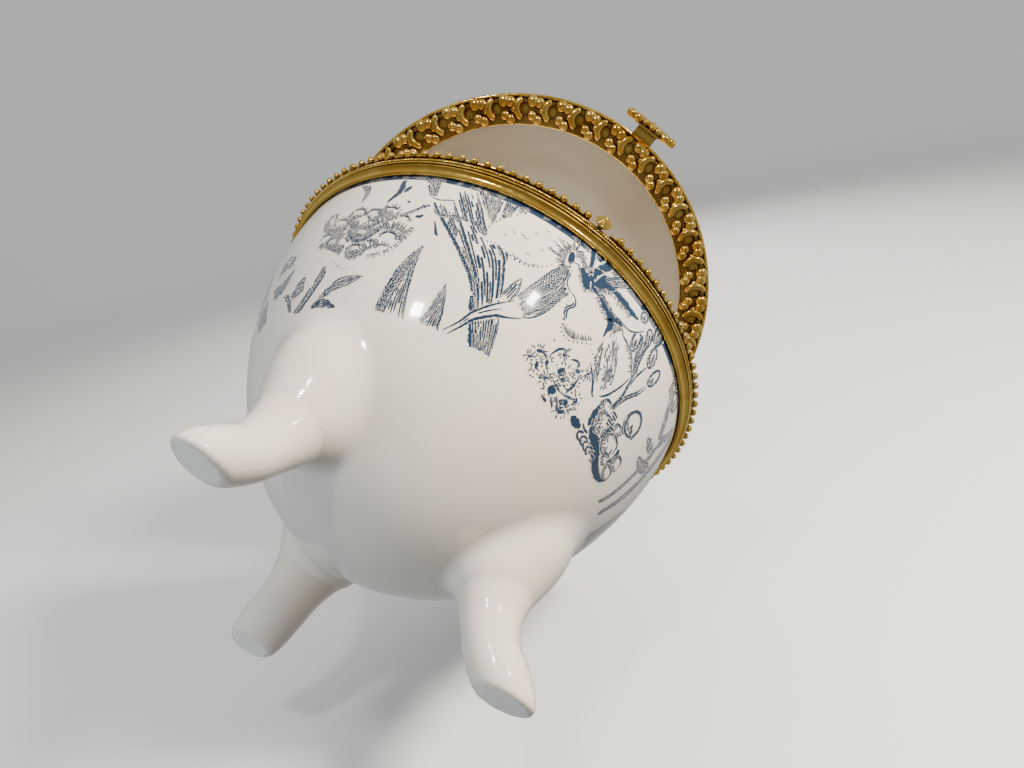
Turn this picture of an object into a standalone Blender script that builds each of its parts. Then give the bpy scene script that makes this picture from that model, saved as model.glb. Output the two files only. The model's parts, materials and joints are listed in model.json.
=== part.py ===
"""Three-legged porcelain trinket box with hinged, brass-mounted lid.

Metres, +Z up.  The box stands on its three feet on the plane z = 0.  The clasp
is at -Y and the hinge at +Y.  The lid is shown partly open.
"""
import math

import bmesh
import bpy
from mathutils import Vector

MM = 0.001

# ---- driving dimensions, in millimetres -------------------------------------
RIM_HEIGHT = 42.05          # plane where lid and base meet, above the feet
PEARL_RING_RADIUS = 29.0    # centre circle of the pearl wire
PEARL_RADIUS = 0.42
ROPE_RING_RADIUS = 28.75    # centre circle of the rope wire below the pearls
ROPE_RADIUS = 0.25
HALF_GAP = 0.15             # each half stays this far from the meeting plane
CLEARANCE = 0.3             # between pieces that touch

BOWL_RADIUS = 27.72
BOWL_DEPTH = 35.26
BOWL_CENTRE_DROP = 0.45     # widest level of the bowl, below the meeting plane
LID_RADIUS = 27.6
LID_RISE = 26.0
LID_BASE = 1.75             # porcelain edge of the lid, above the meeting plane
WALL = 2.5
MOUTH_RADIUS = 24.6         # clear opening inside the brass collars

LEG_AZIMUTHS = (-140.8, 95.8, -21.2)
# Centre line of a leg: distance from the axis, height above the feet, radius.
LEG_KNOTS = ((12.8, 26.6, 4.6), (13.4, 24.0, 6.9), (13.9, 20.6, 8.0), (14.7, 17.4, 7.3),
             (15.0, 14.0, 6.05), (15.8, 11.6, 4.7), (16.9, 7.8, 3.5), (18.4, 4.5, 3.2),
             (20.6, 2.0, 3.1), (22.1, 0.4, 2.65), (22.9, -0.9, 2.0))

HINGE_Y = 30.6
KNUCKLE_RADIUS = 1.3
PIN_RADIUS = 0.5
BORE_RADIUS = 0.65
KNUCKLE_ENDS = (1.75, 5.2)  # inner and outer end of each base knuckle
LID_KNUCKLE_HALF = 1.5
LEAF_HALF_WIDTH = 5.2
OPENING_DEG = 32.6          # how far the lid stands open at rest

LACE_MOTIFS = 42
LACE_WINDOW_RADIUS = 0.85
LACE_CIRCLE_RADIUS = 26.7

KNOB_FACE_Y = -28.65
KNOB_LENGTH = 1.25
CLASP_X = 1.1               # knob and clasp sit a little to the right of the middle

PORCELAIN_STEPS = 48
METAL_STEPS = 60

# The frame's origin is under the middle of the whole box, from the knob's face
# to the back of the open lid's dome.
TILT = math.radians(OPENING_DEG)
DOME_REACH = math.hypot(LID_RADIUS * math.cos(TILT), LID_RISE * math.sin(TILT))
BACK_Y = HINGE_Y * (1 - math.cos(TILT)) + LID_BASE * math.sin(TILT) + DOME_REACH
FRONT_Y = KNOB_FACE_Y - KNOB_LENGTH
BOX_CENTRE_Y = (BACK_Y + FRONT_Y) / 2


# ---- scene helpers ----------------------------------------------------------
def clear_scene():
    for obj in list(bpy.data.objects):
        bpy.data.objects.remove(obj, do_unlink=True)


def new_collection(name):
    collection = bpy.data.collections.new(name)
    bpy.context.scene.collection.children.link(collection)
    return collection


def make_material(name, color, roughness, metallic, coat=0.0):
    material = bpy.data.materials.new(name)
    material.use_nodes = True
    shader = material.node_tree.nodes["Principled BSDF"]
    shader.inputs["Base Color"].default_value = (*color, 1.0)
    shader.inputs["Roughness"].default_value = roughness
    shader.inputs["Metallic"].default_value = metallic
    shader.inputs["Coat Weight"].default_value = coat
    return material


def add_empty(name, location, parent=None):
    empty = bpy.data.objects.new(name, None)
    parts.objects.link(empty)
    empty.parent = parent
    empty.location = Vector(location) * MM
    return empty


def place(obj, parent, location=(0, 0, 0), rotation=(0, 0, 0), cutter=False):
    (cutters if cutter else parts).objects.link(obj)
    obj.parent = parent
    obj.location = Vector(location) * MM
    obj.rotation_euler = rotation
    if cutter:
        obj.hide_render = True
        obj.display_type = "WIRE"
    return obj


def smooth(mesh):
    mesh.shade_smooth()
    mesh.set_sharp_from_angle(angle=math.radians(35))


# ---- shape helpers ----------------------------------------------------------
def turned(name, profile, steps, closed=False):
    """Object with a Screw modifier around Z on an (r, z) profile in millimetres."""
    mesh = bpy.data.meshes.new(name)
    edges = [(i, i + 1) for i in range(len(profile) - 1)]
    if closed:
        edges.append((len(profile) - 1, 0))
    mesh.from_pydata([(r * MM, 0, z * MM) for r, z in profile], edges, [])
    obj = bpy.data.objects.new(name, mesh)
    screw = obj.modifiers.new("turn", "SCREW")
    screw.steps = steps
    screw.render_steps = steps
    screw.use_merge_vertices = True
    screw.merge_threshold = 0.000001
    screw.use_smooth_shade = True
    return obj


def box(name, low, high):
    """Axis-aligned box between two corners, in millimetres."""
    mesh = bpy.data.meshes.new(name)
    bm = bmesh.new()
    bmesh.ops.create_cube(bm, size=1.0)
    for vert in bm.verts:
        for k in range(3):
            vert.co[k] = (high[k] if vert.co[k] > 0 else low[k]) * MM
    bm.to_mesh(mesh)
    bm.free()
    return bpy.data.objects.new(name, mesh)


def bar(name, radius, x0, x1, sides=16):
    """Round bar along X, in millimetres."""
    mesh = bpy.data.meshes.new(name)
    bm = bmesh.new()
    bmesh.ops.create_cone(bm, cap_ends=True, segments=sides, radius1=radius * MM,
                          radius2=radius * MM, depth=(x1 - x0) * MM)
    for vert in bm.verts:
        vert.co = Vector((vert.co.z + (x0 + x1) / 2 * MM, vert.co.y, -vert.co.x))
    bm.to_mesh(mesh)
    bm.free()
    smooth(mesh)
    return bpy.data.objects.new(name, mesh)


def wire(name, points, radius, taper=None, resolution=1):
    """Poly curve with a round bevel and filled caps, in millimetres."""
    curve = bpy.data.curves.new(name, "CURVE")
    curve.dimensions = "3D"
    curve.bevel_depth = radius * MM
    curve.bevel_resolution = resolution
    curve.use_fill_caps = True
    spline = curve.splines.new("POLY")
    spline.points.add(len(points) - 1)
    for i, point in enumerate(points):
        spline.points[i].co = (*(Vector(point) * MM), 1.0)
        spline.points[i].radius = taper[i] if taper else 1.0
    return bpy.data.objects.new(name, curve)


def ring_arc(radius, z, start_deg, end_deg, count):
    angles = [math.radians(start_deg + (end_deg - start_deg) * i / count) for i in range(count + 1)]
    return [(radius * math.cos(a), radius * math.sin(a), z) for a in angles]


def meshed(obj):
    """The same shape as a mesh object, with its caps welded."""
    bpy.context.view_layer.update()
    depsgraph = bpy.context.evaluated_depsgraph_get()
    mesh = bpy.data.meshes.new_from_object(obj.evaluated_get(depsgraph))
    bm = bmesh.new()
    bm.from_mesh(mesh)
    bmesh.ops.remove_doubles(bm, verts=bm.verts, dist=0.000001)
    bm.to_mesh(mesh)
    bm.free()
    name = obj.name
    world = obj.matrix_world.copy()
    bpy.data.objects.remove(obj)
    solid = bpy.data.objects.new(name, mesh)
    solid.matrix_world = world
    return solid


def boolean(obj, operation, tool):
    modifier = obj.modifiers.new(operation.lower(), "BOOLEAN")
    modifier.operation = operation
    modifier.solver = "EXACT"
    modifier.object = tool


def finish(obj, material):
    obj.data.materials.append(material)
    return obj


# ---- profiles ---------------------------------------------------------------
def oval(radius, height, centre_z, start_deg, count, flare=1.0):
    """(r, z) points of a quarter oval from start_deg below the widest level to the pole."""
    points = []
    for i in range(count + 1):
        angle = math.radians(start_deg + (90 - start_deg) * i / count)
        r = 0.0 if i == count else radius * math.cos(angle) ** flare
        points.append((r, centre_z - height * math.sin(angle)))
    return points


# ---- base -------------------------------------------------------------------
def porcelain_bowl():
    top = -HALF_GAP - 0.45 - CLEARANCE
    outer = oval(BOWL_RADIUS, BOWL_DEPTH, -BOWL_CENTRE_DROP, 1.2, 13, flare=1.044)
    bowl = turned("porcelain_bowl", [(0, top), (outer[0][0], top)] + outer[1:], PORCELAIN_STEPS)
    place(bowl, base)
    for number, azimuth in enumerate(LEG_AZIMUTHS, start=1):
        points = [(s, 0, h - RIM_HEIGHT) for s, h, _ in LEG_KNOTS]
        taper = [r for _, _, r in LEG_KNOTS]
        leg = wire(f"leg_{number}", points, 1.0, taper=taper, resolution=4)
        place(leg, base, rotation=(0, 0, math.radians(azimuth)), cutter=True)
        leg = meshed(leg)
        place(leg, base, rotation=(0, 0, math.radians(azimuth)), cutter=True)
        boolean(bowl, "UNION", leg)
    inner = oval(BOWL_RADIUS - WALL, BOWL_DEPTH - WALL, -BOWL_CENTRE_DROP, 1.2, 11, flare=1.044)
    cavity = turned("bowl_cavity", [(0, 1.0), (inner[0][0], 1.0)] + inner, PORCELAIN_STEPS)
    boolean(bowl, "DIFFERENCE", place(cavity, base, cutter=True))
    ground = box("ground", (-40, -40, -RIM_HEIGHT - 10), (40, 40, -RIM_HEIGHT))
    boolean(bowl, "DIFFERENCE", place(ground, base, cutter=True))
    return finish(bowl, porcelain)


def base_collar():
    """Channel over the bowl's rim: flat top, inner flange and a cove outside."""
    top = -HALF_GAP
    section = [(MOUTH_RADIUS, top), (28.25, top), (28.25, -1.85), (28.65, -1.95), (28.35, -2.35),
               (28.15, -2.9), (27.95, -2.9), (27.95, top - 0.45), (MOUTH_RADIUS + 0.3, top - 0.45),
               (MOUTH_RADIUS + 0.3, -2.4), (MOUTH_RADIUS, -2.4)]
    return finish(place(turned("base_collar", section, METAL_STEPS, closed=True), base), gilt)


def pearl_wires():
    """Pearl wire in two lengths, from the catch knob round to the hinge."""
    knob_gap = 2.6
    hinge_gap = 11.2
    knob = -90 + math.degrees(CLASP_X / PEARL_RING_RADIUS)
    spans = {"left": (90 + hinge_gap, 360 + knob - knob_gap), "right": (knob + knob_gap, 90 - hinge_gap)}
    for side, (start, end) in spans.items():
        points = ring_arc(PEARL_RING_RADIUS, -BOWL_CENTRE_DROP - 0.1, start, end, 32)
        strand = meshed(place(wire(f"pearl_wire_{side}", points, PEARL_RADIUS), base))
        finish(place(strand, base), gilt)


def rope_wire():
    """Fine rope wire around the collar, just under the pearls."""
    points = ring_arc(ROPE_RING_RADIUS, -1.5, 0, 360, METAL_STEPS)[:-1]
    rope = wire("rope_wire", points, ROPE_RADIUS)
    rope.data.splines[0].use_cyclic_u = True
    rope = meshed(place(rope, base))
    finish(place(rope, base), gilt)


def catch_knob():
    """Stepped stud on a stem, lying along -Y."""
    profile = [(0, KNOB_LENGTH), (0.45, 1.2), (0.75, 1.05), (0.95, 0.8), (1.0, 0.6), (1.0, 0.4),
               (0.4, 0.4), (0.4, 0), (0, 0)]
    knob = turned("catch_knob", profile, 20)
    place(knob, base, (CLASP_X, KNOB_FACE_Y, -BOWL_CENTRE_DROP - 0.05), (math.radians(90), 0, 0))
    return finish(knob, gilt)


def base_hinge_leaf():
    """Plate behind the collar with the two outer knuckles."""
    leaf = box("base_hinge_leaf", (-LEAF_HALF_WIDTH, 29.25, -4.0), (LEAF_HALF_WIDTH, 29.85, -0.3))
    place(leaf, base)
    inner, outer = KNUCKLE_ENDS
    middle = box("lid_knuckle_room", (-inner, 29.0, -1.75), (inner, 32.0, 1.0))
    boolean(leaf, "DIFFERENCE", place(middle, base, cutter=True))
    for side in (-1, 1):
        x0, x1 = sorted((side * inner, side * outer))
        knuckle = bar(f"base_knuckle_{'right' if side > 0 else 'left'}", KNUCKLE_RADIUS, x0, x1)
        boolean(leaf, "UNION", place(knuckle, base, (0, HINGE_Y, 0), cutter=True))
    bore = bar("base_bore", BORE_RADIUS, -outer - 1, outer + 1)
    boolean(leaf, "DIFFERENCE", place(bore, base, (0, HINGE_Y, 0), cutter=True))
    return finish(leaf, gilt)


def hinge_pin():
    outer = KNUCKLE_ENDS[1]
    pin = bar("hinge_pin", PIN_RADIUS, -outer - 0.4, outer + 0.4)
    return finish(place(pin, base, (0, HINGE_Y, 0)), gilt)


# ---- lid, modelled about the ring's centre and carried by the hinge ----------
def on_lid(obj, location=(0, 0, 0), rotation=(0, 0, 0), cutter=False):
    x, y, z = location
    return place(obj, lid_hinge, (x, y - HINGE_Y, z), rotation, cutter)


def upside_down(profile):
    """Turn an oval's points into a dome above the meeting plane, pole first."""
    return [(r, -z) for r, z in reversed(profile)]


def porcelain_lid():
    outer = upside_down(oval(LID_RADIUS, LID_RISE, -LID_BASE, 0, 12))
    inner = upside_down(oval(LID_RADIUS - WALL, LID_RISE - WALL, -LID_BASE, 0, 11))
    lid = turned("porcelain_lid", outer + inner[::-1], PORCELAIN_STEPS)
    return finish(on_lid(lid), porcelain)


def lid_collar():
    """Channel around the lid's edge, open upwards."""
    low = HALF_GAP + 1.0
    plate = low + 0.3
    section = [(MOUTH_RADIUS + 0.3, 2.1), (MOUTH_RADIUS + 0.3, plate), (27.95, plate),
               (27.95, 3.3), (28.25, 3.4), (28.25, 2.2), (28.45, 1.7), (28.25, low),
               (MOUTH_RADIUS, low), (MOUTH_RADIUS, 2.1)]
    return finish(on_lid(turned("lid_collar", section, METAL_STEPS, closed=True)), gilt)


def lid_lace():
    """Pierced gallery under the collar."""
    low = HALF_GAP
    high = HALF_GAP + 0.7
    section = [(MOUTH_RADIUS + 0.2, high), (28.0, high), (28.0, low), (MOUTH_RADIUS + 0.2, low)]
    lace = on_lid(turned("lid_lace", section, METAL_STEPS, closed=True))
    mesh = bpy.data.meshes.new("lace_windows")
    bm = bmesh.new()
    for i in range(LACE_MOTIFS):
        angle = math.tau * i / LACE_MOTIFS
        made = bmesh.ops.create_cone(bm, cap_ends=True, segments=8, radius1=LACE_WINDOW_RADIUS * MM,
                                     radius2=LACE_WINDOW_RADIUS * MM, depth=3 * MM)
        shift = Vector((math.sin(angle), math.cos(angle), 0)) * LACE_CIRCLE_RADIUS * MM
        bmesh.ops.translate(bm, verts=made["verts"], vec=shift)
    bm.to_mesh(mesh)
    bm.free()
    windows = on_lid(bpy.data.objects.new("lace_windows", mesh), (0, 0, 0.5), cutter=True)
    boolean(lace, "DIFFERENCE", windows)
    return finish(lace, gilt)


def lid_edge_wire():
    hinge_gap = 11.2
    points = ring_arc(28.7, HALF_GAP + 0.5, 90 + hinge_gap, 450 - hinge_gap, 60)
    edge = meshed(on_lid(wire("lid_edge_wire", points, 0.4)))
    return finish(on_lid(edge), gilt)


def clasp_tongue():
    """L-shaped spring tongue: a foot on the collar and a tab that hangs over the knob."""
    foot_low, foot_high = 1.5, 1.9
    tab_front, tab_back = -30.45, -30.15
    half_width = 1.6
    tongue = on_lid(box("clasp_tongue", (CLASP_X - half_width, tab_front, -1.7),
                     (CLASP_X + half_width, tab_back, foot_high)))
    foot = box("tongue_foot", (CLASP_X - half_width, tab_front, foot_low),
               (CLASP_X + half_width, -28.8, foot_high))
    boolean(tongue, "UNION", on_lid(foot, cutter=True))
    return finish(tongue, gilt)


def clasp_bow():
    """Flower-shaped ornament in front of the tongue."""
    lobes = 6
    thickness = 0.5
    curve = bpy.data.curves.new("clasp_bow", "CURVE")
    curve.dimensions = "2D"
    curve.fill_mode = "BOTH"
    curve.extrude = thickness / 2 * MM
    spline = curve.splines.new("POLY")
    count = lobes * 6
    spline.points.add(count - 1)
    spline.use_cyclic_u = True
    for i in range(count):
        angle = math.tau * i / count
        reach = 1.0 + 0.16 * math.cos(lobes * angle)
        x, y = 3.7 * reach * math.cos(angle), 1.55 * reach * math.sin(angle)
        spline.points[i].co = (x * MM, y * MM, 0, 1)
    bow = bpy.data.objects.new("clasp_bow", curve)
    spot = ((CLASP_X, -31.0, 0.7), (math.radians(90), 0, 0))
    bow = meshed(on_lid(bow, *spot))
    return finish(on_lid(bow, *spot), gilt)


def lid_hinge_leaf():
    """Plate behind the lid's collar with the middle knuckle."""
    leaf = box("lid_hinge_leaf", (-LEAF_HALF_WIDTH, 28.75, 0.3), (LEAF_HALF_WIDTH, 29.3, 3.4))
    on_lid(leaf)
    for side in (-1, 1):
        x0, x1 = sorted((side * LID_KNUCKLE_HALF, side * (LEAF_HALF_WIDTH + 1)))
        room = box(f"base_knuckle_room_{'right' if side > 0 else 'left'}", (x0, 28, -1), (x1, 32, 1.75))
        boolean(leaf, "DIFFERENCE", on_lid(room, cutter=True))
    knuckle = bar("lid_knuckle", KNUCKLE_RADIUS, -LID_KNUCKLE_HALF, LID_KNUCKLE_HALF)
    boolean(leaf, "UNION", on_lid(knuckle, (0, HINGE_Y, 0), cutter=True))
    arm = box("knuckle_arm", (-LID_KNUCKLE_HALF + 0.01, 28.9, 0.4), (LID_KNUCKLE_HALF - 0.01, 30.4, 1.2))
    boolean(leaf, "UNION", on_lid(arm, cutter=True))
    bore = bar("lid_bore", BORE_RADIUS, -3, 3)
    boolean(leaf, "DIFFERENCE", on_lid(bore, (0, HINGE_Y, 0), cutter=True))
    return finish(leaf, gilt)


# ---- build ------------------------------------------------------------------
clear_scene()
parts = new_collection("porcelain_trinket_box")
cutters = new_collection("cutters")
porcelain = make_material("porcelain", (0.83, 0.81, 0.76), 0.12, 0.0, coat=0.6)
gilt = make_material("gilt_brass", (0.86, 0.6, 0.2), 0.22, 1.0)

base = add_empty("rim_centre", (0, -BOX_CENTRE_Y, RIM_HEIGHT))
lid_hinge = add_empty("lid_hinge", (0, HINGE_Y, 0), parent=base)
lid_hinge.rotation_euler = (-TILT, 0, 0)

porcelain_bowl()
base_collar()
pearl_wires()
rope_wire()
catch_knob()
base_hinge_leaf()
hinge_pin()
porcelain_lid()
lid_collar()
lid_lace()
lid_edge_wire()
clasp_tongue()
clasp_bow()
lid_hinge_leaf()
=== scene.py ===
import json
import math

import bpy
import numpy as np
from mathutils import Matrix, Vector


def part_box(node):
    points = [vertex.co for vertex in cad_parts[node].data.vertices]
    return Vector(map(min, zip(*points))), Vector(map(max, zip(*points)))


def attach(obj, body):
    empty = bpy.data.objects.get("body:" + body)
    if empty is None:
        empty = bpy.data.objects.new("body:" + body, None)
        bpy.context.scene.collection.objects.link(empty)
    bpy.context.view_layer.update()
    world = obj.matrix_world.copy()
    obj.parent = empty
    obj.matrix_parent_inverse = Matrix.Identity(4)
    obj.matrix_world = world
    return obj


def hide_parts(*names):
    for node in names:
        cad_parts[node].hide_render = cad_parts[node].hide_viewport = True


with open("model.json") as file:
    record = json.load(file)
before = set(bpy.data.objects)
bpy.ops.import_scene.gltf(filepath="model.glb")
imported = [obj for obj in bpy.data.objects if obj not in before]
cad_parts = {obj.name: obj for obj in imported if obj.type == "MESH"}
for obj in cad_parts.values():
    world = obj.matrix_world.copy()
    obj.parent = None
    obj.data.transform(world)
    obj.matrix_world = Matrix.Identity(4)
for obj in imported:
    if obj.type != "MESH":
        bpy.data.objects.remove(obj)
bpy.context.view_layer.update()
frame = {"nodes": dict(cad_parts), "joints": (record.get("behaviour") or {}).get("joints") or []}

MM = 0.001

# ---- places read from the frame ---------------------------------------------
HINGE = Vector(frame["joints"][0]["pos_m"]) / MM
OPENING = math.radians(-frame["joints"][0]["range_deg"][0])
collar_low, collar_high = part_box("base_collar")
CENTRE_Y = (collar_low.y + collar_high.y) / 2 / MM
RIM_Z = HINGE.z
TO_ROW = Matrix.Translation((0, CENTRE_Y, RIM_Z))


def lid_matrix(opening):
    """From the lid's own millimetres, ring-centred, to the row with the lid swung open."""
    swing = Matrix.Rotation(-opening, 4, "X")
    return Matrix.Translation(HINGE) @ swing @ Matrix.Translation(-HINGE) @ TO_ROW


LID_TO_ROW = lid_matrix(OPENING)

# ---- sizes in millimetres, measured from the centre of the meeting plane ----
BOWL_A, BOWL_B, BOWL_DROP = 27.72, 35.26, 0.45
BOWL_POWERS = (1.044, 1.031)
WALL = 2.5
LID_A, LID_B, LID_BASE = 27.6, 26.0, 1.75
MOUTH_RADIUS = 24.6
PEARLS = 118
PEARL_RING = 29.0
MOTIFS = 42
LACE_TURN = 0.7
KNOB_TURN = 2.17
KNOB_GAP = 2.6
HINGE_GAP = 11.5
CLASP_X = 1.15
LEG_AZIMUTHS = (-140.8, 95.8, -21.2)


# ---- node material helpers --------------------------------------------------
class Nodes:
    """Small wrapper that adds and links shader nodes."""

    def __init__(self, name):
        self.material = bpy.data.materials.new(name)
        self.material.use_nodes = True
        self.tree = self.material.node_tree
        self.shader = self.tree.nodes["Principled BSDF"]

    def add(self, kind, inputs=None, **settings):
        node = self.tree.nodes.new(kind)
        for key, value in settings.items():
            setattr(node, key, value)
        for key, value in (inputs or {}).items():
            self.put(node, key, value)
        return node

    def put(self, node, key, value):
        if isinstance(value, bpy.types.NodeSocket):
            self.tree.links.new(value, node.inputs[key])
        else:
            node.inputs[key].default_value = value

    def math(self, operation, a, b=0.0, clamp=False):
        node = self.add("ShaderNodeMath", operation=operation, use_clamp=clamp)
        self.put(node, 0, a)
        self.put(node, 1, b)
        return node.outputs[0]

    def mix(self, factor, a, b):
        node = self.add("ShaderNodeMix", data_type="RGBA")
        self.put(node, 0, factor)
        self.put(node, 6, a if isinstance(a, bpy.types.NodeSocket) else (*a, 1))
        self.put(node, 7, b if isinstance(b, bpy.types.NodeSocket) else (*b, 1))
        return node.outputs[2]

    def ramp(self, value, low, high, out_low=0.0, out_high=1.0):
        node = self.add("ShaderNodeMapRange", interpolation_type="SMOOTHSTEP")
        for key, item in zip((0, 1, 2, 3, 4), (value, low, high, out_low, out_high)):
            self.put(node, key, item)
        return node.outputs[0]

    def noise(self, scale, detail=3.0, vector=None):
        node = self.add("ShaderNodeTexNoise", {"Scale": scale, "Detail": detail})
        node_vector = vector if vector is not None else self.coords()
        self.put(node, "Vector", node_vector)
        return node.outputs["Fac"]

    def coords(self):
        return self.add("ShaderNodeTexCoord").outputs["Object"]

    def attribute(self, name):
        return self.add("ShaderNodeAttribute", attribute_name=name).outputs["Fac"]

    def bump(self, height, strength, distance):
        node = self.add("ShaderNodeBump", {"Strength": strength, "Distance": distance, "Height": height})
        return node.outputs["Normal"]


INK_DARK = (0.005, 0.014, 0.034)
INK_LIGHT = (0.011, 0.031, 0.066)
PASTE_WARM = (0.70, 0.62, 0.50)
PASTE_COOL = (0.66, 0.61, 0.53)


def glaze(nodes, ink=None):
    """Clear glaze over white porcelain; ink is a 0..1 socket for the navy print."""
    tone = nodes.noise(55.0, 2.0)
    colour = nodes.mix(nodes.ramp(tone, 0.35, 0.7), PASTE_COOL, PASTE_WARM)
    specks = nodes.add("ShaderNodeTexVoronoi", {"Scale": 260.0, "Vector": nodes.coords()})
    chosen = nodes.math("GREATER_THAN", nodes.noise(900.0, 0.0), 0.735)
    near = nodes.ramp(specks.outputs["Distance"], 0.0, 0.045, 1.0, 0.0)
    colour = nodes.mix(nodes.math("MULTIPLY", near, chosen), colour, (0.2, 0.1, 0.05))
    if ink is not None:
        shade = nodes.mix(nodes.noise(420.0, 2.0), INK_DARK, INK_LIGHT)
        colour = nodes.mix(ink, colour, shade)
    shader = nodes.shader
    nodes.put(shader, "Base Color", colour)
    nodes.put(shader, "Roughness", nodes.ramp(nodes.noise(130.0), 0.3, 0.7, 0.10, 0.17))
    shader.inputs["Coat Weight"].default_value = 0.7
    shader.inputs["Coat Roughness"].default_value = 0.03
    shader.inputs["Coat IOR"].default_value = 1.55
    waves = nodes.noise(70.0, 1.0)
    nodes.put(shader, "Normal", nodes.bump(waves, 0.10, 0.0006))
    return nodes.material


def bowl_material():
    """White glaze, a navy line under the collar, and bare clay on the ground feet."""
    nodes = Nodes("bowl_glaze")
    place = nodes.add("ShaderNodeSeparateXYZ", {"Vector": nodes.coords()})
    height = place.outputs["Z"]
    line_low = (RIM_Z - BOWL_DROP - 3.25) * MM
    line = nodes.ramp(height, line_low - 0.05 * MM, line_low + 0.05 * MM)
    ragged = nodes.ramp(nodes.noise(700.0, 2.0), 0.2, 0.5)
    glaze(nodes, nodes.math("MULTIPLY", line, nodes.math("MAXIMUM", ragged, 0.85)))
    return nodes.material


def biscuit_material():
    """Unglazed, ground porcelain."""
    nodes = Nodes("bare_clay")
    grain = nodes.noise(1500.0, 4.0)
    nodes.put(nodes.shader, "Base Color", nodes.mix(grain, (0.62, 0.58, 0.52), (0.82, 0.79, 0.73)))
    nodes.put(nodes.shader, "Roughness", nodes.ramp(grain, 0.3, 0.7, 0.6, 0.85))
    nodes.put(nodes.shader, "Normal", nodes.bump(grain, 0.6, 0.0001))
    return nodes.material


def print_material():
    """Transfer print under the glaze: full ink inside a strip, ragged towards its edges."""
    nodes = Nodes("printed_glaze")
    wobble = nodes.math("MULTIPLY", nodes.math("SUBTRACT", nodes.noise(2600.0, 2.0), 0.5), 0.9)
    margin = nodes.math("ADD", nodes.attribute("edge"), wobble)
    return glaze(nodes, nodes.ramp(margin, 0.62, 0.95, 1.0, 0.0))


def gilt_material(name, bright, deep, rough, speckle=1.0):
    """Polished gilding with fine handling marks; painted shade makes its recesses browner and duller."""
    nodes = Nodes(name)
    patches = nodes.noise(240.0, 4.0)
    colour = nodes.mix(nodes.ramp(patches, 0.38, 0.66), bright, deep)
    # Painted shade: an occlusion node darkens the colour towards brown in hollows and creases.
    painted_recess_shade = nodes.add("ShaderNodeAmbientOcclusion", {"Distance": 0.0009}, samples=6)
    colour = nodes.mix(nodes.ramp(painted_recess_shade.outputs["AO"], 0.3, 0.9), (0.12, 0.045, 0.008), colour)
    nodes.put(nodes.shader, "Base Color", colour)
    nodes.shader.inputs["Metallic"].default_value = 1.0
    fine = nodes.noise(1800.0, 3.0)
    nodes.put(nodes.shader, "Roughness", nodes.ramp(fine, 0.25, 0.75, rough, rough + 0.14))
    nodes.put(nodes.shader, "Normal", nodes.bump(nodes.noise(900.0 * speckle, 3.0), 0.12, 0.00008))
    return nodes.material


# ---- mesh helpers (numpy, millimetres) --------------------------------------
def add_piece(name, points, faces, material, body, slot, replaced=(), normals=None, marks=None, sharp=None):
    """Mesh object from local millimetre points; the lid's points are carried to its open place."""
    points = np.asarray(points, dtype=float)
    matrix = LID_TO_ROW if body == "lid" else TO_ROW
    turn = np.array(matrix.to_3x3())
    shift = np.array(matrix.translation)
    placed = (points @ turn.T + shift) * MM
    mesh = bpy.data.meshes.new(name)
    mesh.from_pydata(placed.tolist(), [], [tuple(int(i) for i in face) for face in faces])
    mesh.update()
    for key, values in (marks or {}).items():
        layer = mesh.attributes.new(key, "FLOAT", "POINT")
        layer.data.foreach_set("value", np.asarray(values, dtype=np.float32))
    mesh.shade_smooth()
    if sharp is not None:
        mesh.set_sharp_from_angle(angle=math.radians(sharp))
    if normals is not None:
        mesh.normals_split_custom_set_from_vertices((normals @ turn.T).tolist())
    mesh.materials.append(material)
    obj = bpy.data.objects.new(name, mesh)
    bpy.context.scene.collection.objects.link(obj)
    if replaced:
        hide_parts(*replaced)
    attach(obj, body)
    return obj


def grid_faces(rows, columns, close_rows=False, close_columns=False):
    """Quads of a grid whose points run row by row."""
    faces = []
    for i in range(rows if close_rows else rows - 1):
        for j in range(columns if close_columns else columns - 1):
            a, b = i * columns + j, i * columns + (j + 1) % columns
            c, d = (i + 1) % rows * columns + (j + 1) % columns, (i + 1) % rows * columns + j
            faces.append((a, b, c, d))
    return faces


def lathe(profile, steps, closed=True):
    """Turned surface; the (r, z) profile runs down its outer side, top to bottom."""
    profile = np.asarray(profile, dtype=float)
    angles = np.arange(steps) * math.tau / steps
    r, z = profile[:, 0], profile[:, 1]
    points = np.stack([np.outer(np.cos(angles), r), np.outer(np.sin(angles), r),
                       np.tile(z, (steps, 1))], -1).reshape(-1, 3)
    faces = grid_faces(steps, len(profile), close_rows=True, close_columns=closed)
    return points, [face[::-1] for face in faces]


def ball(rings=8, segments=12):
    """Unit sphere: points and faces."""
    points = [(0, 0, 1)]
    for i in range(1, rings):
        tilt = math.pi * i / rings
        for j in range(segments):
            turn = math.tau * j / segments
            points.append((math.sin(tilt) * math.cos(turn), math.sin(tilt) * math.sin(turn), math.cos(tilt)))
    points.append((0, 0, -1))
    last = len(points) - 1
    faces = [(0, 1 + j, 1 + (j + 1) % segments) for j in range(segments)]
    for i in range(rings - 2):
        row = 1 + i * segments
        for j in range(segments):
            k = (j + 1) % segments
            faces.append((row + j, row + segments + j, row + segments + k, row + k))
    row = 1 + (rings - 2) * segments
    faces += [(last, row + (j + 1) % segments, row + j) for j in range(segments)]
    return np.array(points, float), faces


def joined(shapes):
    """One point array and face list from several."""
    points, faces, start = [], [], 0
    for shape_points, shape_faces in shapes:
        points.append(shape_points)
        faces += [tuple(i + start for i in face) for face in shape_faces]
        start += len(shape_points)
    return np.concatenate(points), faces


def polar(r, degrees, z):
    """Point at a bearing measured from the hinge, clockwise seen from above."""
    angle = math.radians(90 - degrees)
    return np.array((r * math.cos(angle), r * math.sin(angle), z))


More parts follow.
